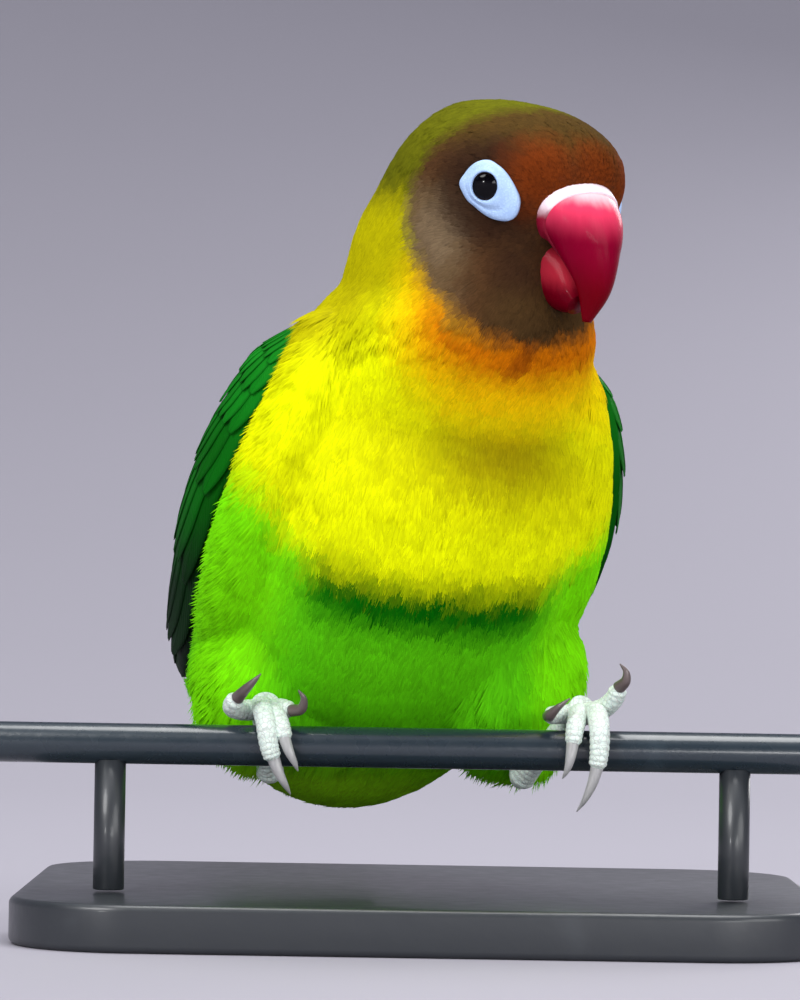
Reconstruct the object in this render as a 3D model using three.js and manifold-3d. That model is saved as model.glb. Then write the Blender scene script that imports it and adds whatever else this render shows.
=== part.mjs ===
// A perched eye-ring lovebird, life size, gripping a cut length of coated wire rail
// that a low display stand carries. Millimetres, +Z up, the bird faces -Y.
import * as THREE from "three";
import { mergeVertices } from "three/addons/utils/BufferGeometryUtils.js";
import Module from "manifold-3d";

const wasm = await Module();
wasm.setup();

// Driving sizes
const GAP = 0.3; // kept between pieces that touch
const STEP = 1e-3; // for slopes taken by difference
const BASE = { width: 104, depth: 92, thickness: 6, corner: 16, chamfer: 0.9 };
const RAIL = { diameter: 5.2, length: 114, height: 25, setback: -22, chamfer: 0.5 };
const ROD = { diameter: 4, spread: 80 };
const BODY_POSE = { shift: -1.6, yaw: 17, roll: 4.5 };
const HEAD_POSE = { at: [10.4, -6.2, 69.3], yaw: 45, pitch: 6, roll: 3 };
const RING_SIDES = 30; // points round the trunk and head

// Colours and finishes
const COLOURS = {
  green: 0x5fbf1d,
  yellow: 0xe2e40f,
  mask: 0x574028,
  wing: 0x0d7a22,
  tail: 0x2f8f2a,
  bill: 0xb3102f,
  bare_white: 0xe6edf2,
  eye: 0x0b0a0c,
  skin: 0xc9d3ca,
  claw: 0x5a534c,
  rail: 0x39444d,
  stand: 0x2b3136,
};
const paint = (colour, roughness, metalness = 0) =>
  new THREE.MeshStandardMaterial({ color: COLOURS[colour], roughness, metalness });

// The trunk from the rump to the neck: y and z of the middle, half width, belly depth, back depth
const TRUNK = [
  [57, -2.4, 6.2, 5.4, 4.6],
  [48, 1.5, 11.5, 11, 7],
  [37, 7.5, 19.5, 19.4, 12],
  [26, 16, 23.3, 23.2, 16],
  [15, 26.5, 24.6, 23, 18],
  [7, 37, 23.6, 20.5, 17],
  [2.2, 46.5, 20.2, 17, 16],
];
// The shell that the folded wings lie on, from their tips to the shoulders
const MANTLE = [
  [76, -1, 5, 3, 3.8],
  [62, 0.5, 11, 6, 7.6],
  [48, 5, 18.5, 11, 11.4],
  [37, 9, 23.6, 16, 15.4],
  [26, 16.5, 27, 23, 19.7],
  [15, 26.5, 29, 25, 21.7],
  [7, 37, 28.2, 23, 20.9],
  [2.2, 46.5, 24.9, 19, 19.6],
  [0.2, 54, 20.3, 15, 18],
];
// The head from the neck to the crown, in its own frame: z, y of the middle, half width, front, back
const HEAD = [
  [-12, 5, 16.6, 15.4, 18.8],
  [-8, 4.2, 16.2, 14, 18.8],
  [-4, 3.4, 15.6, 13.8, 18.4],
  [0, 2.3, 14.9, 14.9, 17.3],
  [4, 1.5, 14.3, 15.9, 15.8],
  [7.6, 1.1, 12.7, 14.7, 13.8],
  [10.6, 1.3, 9.8, 11.6, 10.8],
  [12.7, 1.9, 5.8, 6.9, 6.6],
  [13.7, 2.4, 0, 0, 0],
];

// A row of the table at t from 0 to 1, on a smooth curve through the rows
function blend(rows, t) {
  const last = rows.length - 1;
  const x = t * last;
  const i = Math.min(Math.max(Math.floor(x), 0), last - 1);
  const u = x - i;
  const before = i > 0 ? rows[i - 1] : rows[0].map((v, k) => 2 * v - rows[1][k]);
  const after = i + 2 <= last ? rows[i + 2] : rows[last].map((v, k) => 2 * v - rows[last - 1][k]);
  return rows[i].map((p1, k) => {
    const p0 = before[k];
    const p2 = rows[i + 1][k];
    const p3 = after[k];
    return p1 + 0.5 * u * (p2 - p0 + u * (2 * p0 - 5 * p1 + 4 * p2 - p3 + u * (3 * (p1 - p2) + p3 - p0)));
  });
}

const radians = THREE.MathUtils.degToRad;
const turned = (axis, degrees) => new THREE.Matrix4().makeRotationAxis(axis, radians(degrees));
const X_AXIS = new THREE.Vector3(1, 0, 0);
const Y_AXIS = new THREE.Vector3(0, 1, 0);
const Z_AXIS = new THREE.Vector3(0, 0, 1);

const bodyFrame = new THREE.Matrix4()
  .makeTranslation(BODY_POSE.shift, 0, 0)
  .multiply(turned(Z_AXIS, BODY_POSE.yaw))
  .multiply(turned(Y_AXIS, BODY_POSE.roll));
const headFrame = new THREE.Matrix4()
  .makeTranslation(...HEAD_POSE.at)
  .multiply(turned(Z_AXIS, HEAD_POSE.yaw))
  .multiply(turned(Y_AXIS, HEAD_POSE.roll))
  .multiply(turned(X_AXIS, HEAD_POSE.pitch));

// A point of a form whose sections stand across its run: t along it, angle round it from the underside,
// lift above its surface
function loftPoint(frame, table, t, angle, lift) {
  const [y, z, half, under, over] = blend(table, t);
  const [y0, z0] = blend(table, t - STEP);
  const [y1, z1] = blend(table, t + STEP);
  const run = new THREE.Vector2(y1 - y0, z1 - z0).normalize();
  const depth = Math.cos(angle) * ((Math.cos(angle) > 0 ? under : over) + lift);
  const x = (half + lift) * Math.sin(angle);
  return new THREE.Vector3(x, y - run.y * depth, z + run.x * depth).applyMatrix4(frame);
}
const trunkPoint = (table, t, angle, lift = 0) => loftPoint(bodyFrame, table, t, angle, lift);
const billPoint = (table, t, angle, lift = 0) => loftPoint(headFrame, table, t, angle, lift);

// A point of the head: t from the neck to the crown, angle round it from the bill
function headPoint(t, angle, lift = 0) {
  const [z, y, half, front, back] = blend(HEAD, t);
  const share = lift * Math.min(1, half / HEAD[0][2]);
  const depth = Math.cos(angle) * ((Math.cos(angle) > 0 ? front : back) + share);
  const rise = t > 0.5 ? lift * (2 * t - 1) : 0;
  return new THREE.Vector3((half + share) * Math.sin(angle), y - depth, z + rise).applyMatrix4(headFrame);
}

const ringOf = (sides, point) => Array.from({ length: sides }, (_, i) => point((i / sides) * 2 * Math.PI));
const steps = (count, value) => Array.from({ length: count + 1 }, (_, i) => value(i / count));

// A closed geometry through rings of points, with each end closed flat, facing outwards
function skin(rings) {
  const sides = rings[0].length;
  const points = rings.flat();
  const small = sides <= 8;
  const index = [];
  for (let r = 0; r + 1 < rings.length; r++) {
    for (let i = 0; i < sides; i++) {
      const a = r * sides + i;
      const b = r * sides + ((i + 1) % sides);
      index.push(a, b, b + sides, a, b + sides, a + sides);
    }
  }
  for (const [row, flip] of [[0, true], [rings.length - 1, false]]) {
    for (let i = 1; small && i < sides - 1; i++) {
      const [a, b, c] = [row * sides, row * sides + i, row * sides + i + 1];
      index.push(...(flip ? [a, c, b] : [a, b, c]));
    }
    if (small) continue;
    const middle = rings[row].reduce((sum, p) => sum.add(p), new THREE.Vector3()).divideScalar(sides);
    const centre = points.push(middle) - 1;
    for (let i = 0; i < sides; i++) {
      const a = row * sides + i;
      const b = row * sides + ((i + 1) % sides);
      index.push(...(flip ? [centre, b, a] : [centre, a, b]));
    }
  }
  return closed(points, index);
}

// A geometry from points and triangles, turned to face outwards
function closed(points, index) {
  let volume = 0;
  for (let i = 0; i < index.length; i += 3) {
    const [a, b, c] = [points[index[i]], points[index[i + 1]], points[index[i + 2]]];
    volume += a.dot(new THREE.Vector3().crossVectors(b, c));
  }
  if (volume < 0) index.reverse();
  return new THREE.BufferGeometry().setFromPoints(points).setIndex(index);
}

// A closed geometry as a solid that can be joined and cut
function solid(geometry) {
  const bare = new THREE.BufferGeometry().setAttribute("position", geometry.getAttribute("position"));
  if (geometry.index) bare.setIndex(geometry.index);
  const merged = mergeVertices(bare, 1e-4);
  const all = merged.index.array;
  const kept = [];
  for (let i = 0; i < all.length; i += 3) {
    const [a, b, c] = [all[i], all[i + 1], all[i + 2]];
    if (a !== b && b !== c && c !== a) kept.push(a, b, c);
  }
  const vertProperties = merged.attributes.position.array;
  return new wasm.Manifold(new wasm.Mesh({ numProp: 3, vertProperties, triVerts: new Uint32Array(kept) }));
}

const join = (pieces) => pieces.reduce((all, piece) => all.add(piece));

// A named mesh from the largest closed body of a solid
function piece(name, shape, material) {
  const [largest] = shape.decompose().sort((a, b) => b.volume() - a.volume());
  const made = largest.getMesh();
  const geometry = new THREE.BufferGeometry();
  geometry.setAttribute("position", new THREE.BufferAttribute(made.vertProperties, 3));
  geometry.setIndex(new THREE.BufferAttribute(made.triVerts, 1));
  geometry.computeVertexNormals();
  const mesh = new THREE.Mesh(geometry, material);
  mesh.name = name;
  return mesh;
}

// A round limb along a smooth path; each stop is x, y, z and a radius
function limb(stops, sides, rows, grow = 0) {
  const rings = [];
  let across = new THREE.Vector3(1, 0, 0.01);
  for (let i = 0; i <= rows; i++) {
    const t = i / rows;
    const [x, y, z, radius] = blend(stops, t);
    const middle = new THREE.Vector3(x, y, z);
    const ahead = blend(stops, t + STEP);
    const behind = blend(stops, t - STEP);
    const along = new THREE.Vector3(...ahead.map((v, k) => v - behind[k]).slice(0, 3)).normalize();
    across = across.clone().addScaledVector(along, -across.dot(along)).normalize();
    const up = new THREE.Vector3().crossVectors(along, across);
    const r = radius + grow;
    const [side, top] = [across.clone().multiplyScalar(r), up.multiplyScalar(r)];
    const rim = (a) => middle.clone().addScaledVector(side, Math.cos(a)).addScaledVector(top, Math.sin(a));
    rings.push(ringOf(sides, rim));
  }
  return skin(rings);
}

// Trunk, neck and head
const TRUNK_ROWS = 16;
const HEAD_STEPS = 15;
const NECK_ROWS = 6;
const NECK_SWELL = 1.7;
const trunkSkin = (lift, sides = RING_SIDES) =>
  skin(steps(TRUNK_ROWS, (t) => ringOf(sides, (a) => trunkPoint(TRUNK, t, a, lift))));
const headSkin = (lift) => skin(steps(HEAD_STEPS, (t) => ringOf(RING_SIDES, (a) => headPoint(t, a, lift))));

// The neck runs from the trunk's top ring to the head's lowest, leaving each along its own slope and swelling
function neckPoint(t, angle, given = 0) {
  const lift = given + NECK_SWELL * 4 * t * (1 - t);
  const low = trunkPoint(TRUNK, 1, angle, lift);
  const high = headPoint(0, angle, lift);
  const reach = low.distanceTo(high);
  const leave = low.clone().sub(trunkPoint(TRUNK, 1 - 20 * STEP, angle, lift)).setLength(reach);
  const arrive = headPoint(20 * STEP, angle, lift).sub(high).setLength(reach);
  const [t2, t3] = [t * t, t * t * t];
  return low
    .multiplyScalar(2 * t3 - 3 * t2 + 1)
    .addScaledVector(leave, t3 - 2 * t2 + t)
    .addScaledVector(high, 3 * t2 - 2 * t3)
    .addScaledVector(arrive, t3 - t2);
}
const neckSkin = (lift, from = 0, to = 1) =>
  skin(steps(NECK_ROWS, (t) => ringOf(RING_SIDES, (a) => neckPoint(from + t * (to - from), a, lift))));

// Bill, in the head's frame: y, z, half width, under depth, ridge depth, from inside the face to the hook
const BILL_UPPER = [
  [-5.6, 0.4, 6.1, 3.4, 4.6],
  [-9.4, 0.2, 6.1, 4.3, 4.9],
  [-12.4, -1.8, 5.7, 4.7, 4.4],
  [-13.8, -5.6, 4, 2.7, 4.4],
  [-15, -9.6, 2.3, 0.9, 3.2],
  [-15.1, -13.8, 0.6, 0.4, 0.6],
];
const BILL_LOWER = [
  [-6, -5.5, 3.8, 4.4, 3],
  [-9.5, -8, 2.8, 4.2, 3],
  [-12, -10, 2.5, 3.4, 2.2],
  [-13.7, -11.4, 1.8, 2, 1.2],
];
const BILL_SIDES = 18;
const billSkin = (table, rows, lift = 0) =>
  skin(steps(rows, (t) => ringOf(BILL_SIDES, (a) => billPoint(table, t, a, lift))));
const CERE = { thick: 1.5, raise: 0.8, proud: 0.25 };
const NOSTRIL = { radius: 0.45, across: 2.2, y: -14.2, z: 3 };

// Eyes: the ball sits behind the lids, on the head's surface at this height and angle
const EYE = { t: 0.417, angle: { [-1]: 56, 1: 66 }, ball: 3.3, sunk: 2.6, opening: [1.5, 1.72], sides: 16 };
// The bare ring's reach from the eye's middle, in steps from the bill's side up, back, down and forward again
const RING_REACH = [3.8, 3.2, 3, 3, 3.2, 3.2, 3.1, 3.1, 3.4, 3.1, 3, 3, 3.5, 4.4, 5.3, 4.8];
const RING_HEIGHTS = [[0, 0.55], [0.5, -0.1], [1, -1.2], [1, -0.15], [0.6, 0.2], [0.2, 0.7]];
function eyeFrame(side) {
  const angle = side * radians(EYE.angle[side]);
  const at = headPoint(EYE.t, angle);
  const round = headPoint(EYE.t, angle + STEP).sub(at);
  const up = headPoint(EYE.t + STEP, angle).sub(at);
  const out = new THREE.Vector3().crossVectors(round, up).normalize();
  const front = round.normalize().multiplyScalar(-side);
  const top = new THREE.Vector3().crossVectors(out, front);
  return new THREE.Matrix4().makeBasis(front, top, out).setPosition(at);
}
// The bare ring and the lid's raised margin; its sections run from the opening, 0, to the rim, 1
function lidSkin(side, grow = 0) {
  const sections = RING_REACH.map((reach, i) => {
    const angle = (i / EYE.sides) * 2 * Math.PI;
    const towards = new THREE.Vector2(Math.cos(angle), Math.sin(angle) * -side);
    const inner = Math.hypot(EYE.opening[0] * towards.x, EYE.opening[1] * towards.y);
    return RING_HEIGHTS.map(([share, height], row) => {
      const upper = row >= RING_HEIGHTS.length - 3;
      const r = inner + (reach - inner) * share + (share === 1 ? grow : 0);
      return new THREE.Vector3(towards.x * r, towards.y * r, height + (upper ? grow : -2 * grow));
    });
  });
  return hoop(sections);
}
// A closed geometry round a loop of sections, whose last meets its first
function hoop(sections) {
  const sides = sections[0].length;
  const index = sections.flatMap((_, r) =>
    Array.from({ length: sides }, (__, i) => {
      const next = ((r + 1) % sections.length) * sides;
      const [a, b] = [r * sides + i, r * sides + ((i + 1) % sides)];
      const [c, d] = [next + ((i + 1) % sides), next + i];
      return [a, b, c, a, c, d];
    }).flat(),
  );
  return closed(sections.flat(), index);
}

// Feet: stops of x, y, z and radius round the rail's axis, which is the origin here
const TOE_SIDES = 8;
const CLAW_SIDES = 6;
const FEET = {
  right: {
    tarsus: [[-20.3, 1.6, 5.2, 1.9], [-20.4, 5.2, 3, 1.6], [-20.2, 9.6, -1.6, 1.5], [-19.6, 12.8, -5, 2]],
    toes: [
      [[-19.8, 3, 4.6, 1.2], [-18.3, 0.2, 4.9, 1.15], [-16.6, -2, 4.6, 1]],
      [[-20, 3, 4.6, 1.3], [-19.2, -0.6, 4.6, 1.2], [-18.2, -3.3, 2.8, 1.15], [-17.5, -4.2, 0.6, 0.95]],
      [
        [-20.5, 3, 4.6, 1.4], [-20.6, -0.6, 4.9, 1.35], [-20.1, -3.6, 3.2, 1.3],
        [-19.6, -4.5, 0.2, 1.2], [-18.9, -4.4, -1.9, 1.05],
      ],
      [[-20.6, 3, 4.6, 1.4], [-23.3, 1.4, 4.5, 1.3], [-24.5, -0.6, 5, 1.2], [-23.6, -2.5, 6.5, 1.1]],
    ],
    claws: [
      [[-16.9, -1.7, 4.6, 0.8], [-15.6, -2.8, 4.9, 0.68], [-15.3, -3.6, 6.2, 0.42], [-16, -4, 7.3, 0.08]],
      [
        [-17.7, -4.1, 1.2, 0.8], [-17, -4.7, -0.6, 0.62],
        [-16.3, -4.5, -2, 0.38], [-15.9, -3.9, -3, 0.08],
      ],
      [
        [-19.1, -4.4, -1.2, 0.85], [-18.3, -4.7, -3.2, 0.66],
        [-17.4, -4.3, -4.9, 0.4], [-16.8, -3.4, -6, 0.08],
      ],
      [
        [-23.8, -2.3, 6.1, 0.85], [-22.9, -3.6, 7.1, 0.66],
        [-21.7, -4.3, 8.3, 0.4], [-20.8, -4.4, 9.3, 0.08],
      ],
    ],
  },
  left: {
    tarsus: [[20.6, 1.6, 5.4, 1.9], [18.4, 5.2, 3, 1.6], [14.8, 9.6, -1.6, 1.5], [12.2, 12.8, -5, 2]],
    toes: [
      [[19.8, 3, 4.6, 1.2], [17.6, 0.8, 4.6, 1.2], [15.6, -1.4, 4.4, 1.05]],
      [[20.2, 3, 4.6, 1.3], [19.8, -0.6, 4.7, 1.2], [19.3, -3.4, 2.9, 1.15], [19, -4.3, 0.5, 0.95]],
      [
        [20.8, 3, 4.6, 1.4], [22, -0.6, 4.9, 1.35], [22.4, -3.6, 3.2, 1.3],
        [22.4, -4.5, 0.1, 1.2], [22.1, -4.4, -2.4, 1.05],
      ],
      [[21, 3, 4.6, 1.4], [23, 1.2, 5.4, 1.3], [24.4, -0.6, 6.8, 1.2], [25, -1.8, 8.6, 1.1]],
    ],
    claws: [
      [[16, -1, 4.4, 0.8], [16.2, -2.9, 4.7, 0.68], [17.2, -4, 5.7, 0.42], [18.6, -4.3, 6.8, 0.08]],
      [[19, -4.2, 1, 0.8], [18.7, -4.7, -0.9, 0.62], [18.3, -4.5, -2.4, 0.38], [17.8, -3.9, -3.4, 0.08]],
      [
        [22.2, -4.4, -1.7, 0.85], [21.6, -4.7, -3.9, 0.66],
        [20.7, -4.3, -6, 0.4], [19.7, -3.4, -7.6, 0.08],
      ],
      [
        [24.9, -1.7, 8.2, 0.85], [25.7, -2.7, 9.1, 0.66],
        [25.7, -3.1, 10.3, 0.4], [24.9, -3.1, 11.3, 0.08],
      ],
    ],
  },
};
// Feathered thighs: from inside the belly's side down to the heel
const THIGHS = {
  right: [
    [-17, 14, 24, 5], [-19, 13.5, 17, 10.4], [-20.2, 13.8, 9, 10.6],
    [-20.8, 13.6, 2, 8.4], [-20.4, 13.4, -2.6, 4],
  ],
  left: [
    [9, 20, 23, 5], [10.4, 19.4, 16, 10], [11.4, 18.4, 8, 10.2],
    [12.4, 16.6, 1.5, 8], [13, 14.6, -2.6, 4],
  ],
};

// Wings: the lower edge's angle from the belly and the upper edge's from the back, tip to shoulder
const WING_EDGES = [
  [150, 2],
  [136, 1.5],
  [108, 1.5],
  [90, 2.5],
  [80, 8],
  [77, 17],
  [76, 28],
  [76, 40],
  [80, 52],
];
const WING = {
  rows: 9, across: 7, from: 0.16, inside: 4.6, shoulder: 0.86, tuck: 3.4, hem: 0.16, hemDrop: 1,
  edgeDepth: 0.3, edgeWidth: 0.25, lastShare: 0.995,
};
const DROOP = { right: 12, left: -2, at: 0.38, reach: 0.3 }; // degrees that each lower edge hangs lower
// How far below the wing's surface its core lies, from the tips to the shoulders
const CORE_DEPTH = [[2.1], [1.9], [1.8], [1.8], [1.7], [0.4]];
function wingAngle(side, t, s) {
  const [low, high] = blend(WING_EDGES, t);
  const droop = (side < 0 ? DROOP.right : DROOP.left) * Math.max(0, 1 - Math.abs(t - DROOP.at) / DROOP.reach);
  return radians(low - droop + (180 - high - low + droop) * s);
}
// The shoulder and both edges curl in towards the body
function wingPoint(side, t, s, lift) {
  const angle = wingAngle(side, t, s);
  const tuck = WING.tuck * Math.max(0, (t - WING.shoulder) / (1 - WING.shoulder)) ** 2;
  const hem = WING.hemDrop * Math.max(0, 1 - s / WING.hem, 1 - (1 - s) / WING.hem) ** 2;
  return trunkPoint(MANTLE, t, side * angle, lift - tuck - hem);
}
function wingCore(side) {
  const rings = steps(WING.rows, (share) => {
    const t = WING.from + (1 - WING.from) * share;
    const [depth] = blend(CORE_DEPTH, share);
    const thin = (s) => Math.min(1, WING.edgeDepth + s / WING.edgeWidth);
    const outer = steps(WING.across, (s) => wingPoint(side, t, s, -depth * thin(s)));
    const inside = (s) => trunkPoint(MANTLE, t, side * wingAngle(side, t, 1 - s), -WING.inside);
    const inner = steps(WING.across, inside);
    return [...outer, ...inner];
  });
  return skin(rings);
}
function wingWidth(side, t) {
  const points = steps(WING.across, (s) => wingPoint(side, t, s, 0));
  return points.slice(1).reduce((sum, p, i) => sum + p.distanceTo(points[i]), 0);
}

// Feathers: shares of the length and of the width at each step from root to tip
const VANE = { thick: 0.5, rachis: 0.1, tilt: 0.155, rise: 0.3, tipRoom: 0.4, tipSearch: 0.01 };
const LONG = [[0, 0.6], [0.34, 0.92], [0.66, 1], [0.88, 0.82], [1, 0.32]];
const MIDDLE = [[0, 0.7], [0.45, 1], [0.86, 0.84], [1, 0.32]];
const SHORT = [[0, 0.8], [0.7, 1], [1, 0.42]];
// One vane: place gives the point at a share of its length, a distance across and a lift
function vane(shape, width, lifts, tilt, place) {
  const rings = shape.map(([u, share]) => {
    const half = (width / 2) * share;
    const base = lifts[0] + (lifts[1] - lifts[0]) * u ** VANE.rise;
    const across = [-half, 0, half];
    const top = across.map((x) => place(u, x, base - tilt * x + (x === 0 ? VANE.rachis : 0)));
    const under = across.map((x) => place(u, x, base - tilt * x - VANE.thick)).reverse();
    return [...top, ...under];
  });
  return solid(skin(rings));
}

// The wing's tiers, each in lanes counted up from the lower edge and sunk in at the roots: primaries,
// primary coverts, secondaries, greater, median and lesser coverts. Lanes run parallel or close up
const WING_TIERS = [
  {
    shape: LONG, count: 7, start: 3, pitch: 3.5, width: 5.8, root: 0.42, tip: 0.02,
    lifts: [-2.2, -0.1], parallel: true,
  },
  { shape: SHORT, count: 3, start: 3, pitch: 3.4, width: 5.2, root: 0.62, tip: 0.42, lifts: [-2.1, 0] },
  { shape: MIDDLE, count: 5, start: 14, pitch: 3.4, width: 5.6, root: 0.61, tip: 0.37, lifts: [-2.2, 0] },
  { shape: SHORT, count: 7, start: 3.5, pitch: 4.9, width: 6.9, root: 0.78, tip: 0.59, lifts: [-2.1, 0] },
  { shape: SHORT, count: 6, start: 3.4, pitch: 4.7, width: 6.6, root: 0.89, tip: 0.75, lifts: [-2, 0] },
  { shape: SHORT, count: 4, start: 3.6, pitch: 5.2, width: 7.2, root: 0.97, tip: 0.87, lifts: [-1.8, 0] },
];
// Where a lane at this distance from the lower edge starts to fit in, past the given place
function laneTip(side, distance, from) {
  let t = from;
  while (wingWidth(side, t) < distance && t < 1) t += VANE.tipSearch;
  return t;
}
function wingVanes(side) {
  return WING_TIERS.flatMap((tier) =>
    Array.from({ length: tier.count }, (_, i) => {
      const lane = tier.start + tier.pitch * i;
      const tip = tier.parallel ? laneTip(side, lane + VANE.tipRoom * tier.width, tier.tip) : tier.tip;
      return vane(tier.shape, tier.width, tier.lifts, VANE.tilt, (u, x, lift) => {
        const t = tier.root + (tip - tier.root) * u;
        const s = Math.min((lane + x) / wingWidth(side, tier.parallel ? t : tip), WING.lastShare);
        return wingPoint(side, t, s, lift);
      });
    }),
  );
}

// Tail, from the rump: a root block, a middle pair on top and five pairs that step down from it
const TAIL = { root: [51, 1], length: 40, pitch: 6, yaw: 13, half: 8.4, tall: 3.3, level: -2.2, block: 9 };
const RECTRICES = {
  pairs: 5, width: 5.2, middle: 0.8, first: 2.8, rootPitch: 1.1, tipPitch: 1.6, drop: 0.66, shorter: 2.3,
  rise: 0.2, arch: 0.006,
};
const COVERT = { lifts: [-0.8, -0.2], stagger: 0.6, arch: 0.02 };
const TAIL_COVERTS = [
  { count: 5, width: 4.6, spread: 3.3, length: 22, level: 0.7, face: 1 },
  { count: 4, width: 4.8, spread: 3.4, length: 14, level: 1.6, face: 1 },
  { count: 5, width: 4.6, spread: 3.3, length: 20, level: 4.4, face: -1 },
  { count: 4, width: 4.8, spread: 3.4, length: 13, level: 5.5, face: -1 },
];
function tailBlock() {
  const point = (y, a) => new THREE.Vector3(TAIL.half * Math.sin(a), y, TAIL.level - TAIL.tall * Math.cos(a));
  return skin([0, TAIL.block].map((y) => ringOf(12, (a) => point(y, a))));
}
function tailVanes() {
  const made = [];
  const rectrix = (level, long, centre) =>
    made.push(
      vane(MIDDLE, RECTRICES.width, [level - RECTRICES.rise, level], 0, (u, x, lift) =>
        new THREE.Vector3(centre(u) + x, long * u, lift - RECTRICES.arch * (centre(u) + x) ** 2),
      ),
    );
  rectrix(0, TAIL.length, () => RECTRICES.middle);
  rectrix(-RECTRICES.drop, TAIL.length, () => -RECTRICES.middle);
  for (const side of [-1, 1]) {
    for (let k = 0; k < RECTRICES.pairs; k++) {
      const spread = (u) => k * (RECTRICES.rootPitch + (RECTRICES.tipPitch - RECTRICES.rootPitch) * u);
      const long = TAIL.length - RECTRICES.shorter * (k + 0.5);
      rectrix(-RECTRICES.drop * (k + 2), long, (u) => side * (RECTRICES.first + spread(u)));
    }
  }
  for (const tier of TAIL_COVERTS) {
    for (let i = 0; i < tier.count; i++) {
      const middle = (i - (tier.count - 1) / 2) * tier.spread;
      const stagger = i % 2 ? COVERT.stagger : 0;
      made.push(
        vane(SHORT, tier.width, COVERT.lifts, 0, (u, x, lift) => {
          const high = tier.level + stagger + lift + VANE.thick - COVERT.arch * middle ** 2;
          return new THREE.Vector3(middle + x, tier.length * u, tier.face > 0 ? high : -high - VANE.thick);
        }),
      );
    }
  }
  return made;
}
const tailFrame = bodyFrame
  .clone()
  .multiply(new THREE.Matrix4().makeTranslation(0, ...TAIL.root))
  .multiply(turned(Z_AXIS, -TAIL.yaw))
  .multiply(turned(X_AXIS, -TAIL.pitch));

// Rail and stand
function railGeometry(grow = 0) {
  const r = RAIL.diameter / 2 + grow;
  const half = RAIL.length / 2 + grow;
  const profile = [
    [0, -half],
    [r - RAIL.chamfer, -half],
    [r, RAIL.chamfer - half],
    [r, half - RAIL.chamfer],
    [r - RAIL.chamfer, half],
    [0, half],
  ].map(([x, y]) => new THREE.Vector2(x, y));
  return new THREE.LatheGeometry(profile, 24).rotateZ(-Math.PI / 2);
}
function baseGeometry() {
  const w = BASE.width / 2 - BASE.chamfer;
  const d = BASE.depth / 2 - BASE.chamfer;
  const c = BASE.corner;
  const outline = new THREE.Shape()
    .moveTo(-w + c, -d)
    .lineTo(w - c, -d)
    .absarc(w - c, -d + c, c, -Math.PI / 2, 0)
    .lineTo(w, d - c)
    .absarc(w - c, d - c, c, 0, Math.PI / 2)
    .lineTo(-w + c, d)
    .absarc(-w + c, d - c, c, Math.PI / 2, Math.PI)
    .lineTo(-w, -d + c)
    .absarc(-w + c, -d + c, c, Math.PI, 1.5 * Math.PI);
  return new THREE.ExtrudeGeometry(outline, {
    depth: BASE.thickness - 2 * BASE.chamfer,
    bevelThickness: BASE.chamfer,
    bevelSize: BASE.chamfer,
    bevelSegments: 1,
    curveSegments: 5,
  }).translate(0, 0, BASE.chamfer);
}

// Solids, each cut clear of the one it meets
const trunkGrown = solid(trunkSkin(GAP));
const headGrown = solid(headSkin(GAP));
const neckGrown = solid(neckSkin(GAP));
const railGrown = solid(railGeometry(GAP));

const torso = solid(trunkSkin(0)).subtract(railGrown);
const neckLength = neckPoint(0, 0).distanceTo(neckPoint(1, 0));
const neck = solid(neckSkin(0, GAP / neckLength, 1 - GAP / neckLength));

const bird = new THREE.Group();
const green = paint("green", 0.8);
bird.add(piece("torso", torso, green));
bird.add(piece("neck", neck, paint("yellow", 0.8)));

let head = solid(headSkin(0));
const billSolid = solid(billSkin(BILL_UPPER, 14));
const raise = new THREE.Vector3(0, 0, 1).transformDirection(headFrame).multiplyScalar(CERE.raise).toArray();
const cereReach = solid(headSkin(CERE.thick).translate(...raise));
const billCut = solid(headSkin(CERE.thick + GAP).translate(...raise));
let cere = solid(billSkin(BILL_UPPER, 14, CERE.proud)).intersect(cereReach).subtract(headGrown);
for (const side of [-1, 1]) {
  const at = new THREE.Vector3(side * NOSTRIL.across, NOSTRIL.y, NOSTRIL.z).applyMatrix4(headFrame);
  cere = cere.subtract(solid(new THREE.IcosahedronGeometry(NOSTRIL.radius, 1).translate(...at.toArray())));
}
const billUpper = billSolid.subtract(billCut).subtract(headGrown);
const billUpperGrown = solid(billSkin(BILL_UPPER, 14, CERE.proud + GAP));
const billLower = solid(billSkin(BILL_LOWER, 8)).subtract(join([billUpperGrown, headGrown, neckGrown]));
bird.add(piece("cere", cere, paint("bare_white", 0.55)));
bird.add(piece("bill_upper", billUpper, paint("bill", 0.3)));
bird.add(piece("bill_lower", billLower, paint("bill", 0.35)));

for (const [name, side] of [["right", -1], ["left", 1]]) {
  const frame = eyeFrame(side);
  const ball = (grow) => {
    const shape = new THREE.SphereGeometry(EYE.ball + grow, 14, 8).rotateX(Math.PI / 2);
    return solid(shape.translate(0, 0, -EYE.sunk).applyMatrix4(frame));
  };
  const lids = solid(lidSkin(side).applyMatrix4(frame)).subtract(ball(GAP));
  head = head.subtract(ball(GAP)).subtract(solid(lidSkin(side, GAP).applyMatrix4(frame)));
  bird.add(piece(`eye_${name}`, ball(0), paint("eye", 0.08)));
  bird.add(piece(`eye_ring_${name}`, lids, paint("bare_white", 0.6)));
}
bird.add(piece("head", head, paint("mask", 0.8)));

const thighGrown = [];
for (const [name, stops] of Object.entries(THIGHS)) {
  const thigh = solid(limb(stops, 16, 8)).subtract(trunkGrown).subtract(railGrown);
  thighGrown.push(solid(limb(stops, 16, 8, GAP)));
  bird.add(piece(`thigh_${name}`, thigh, green));
}

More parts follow.
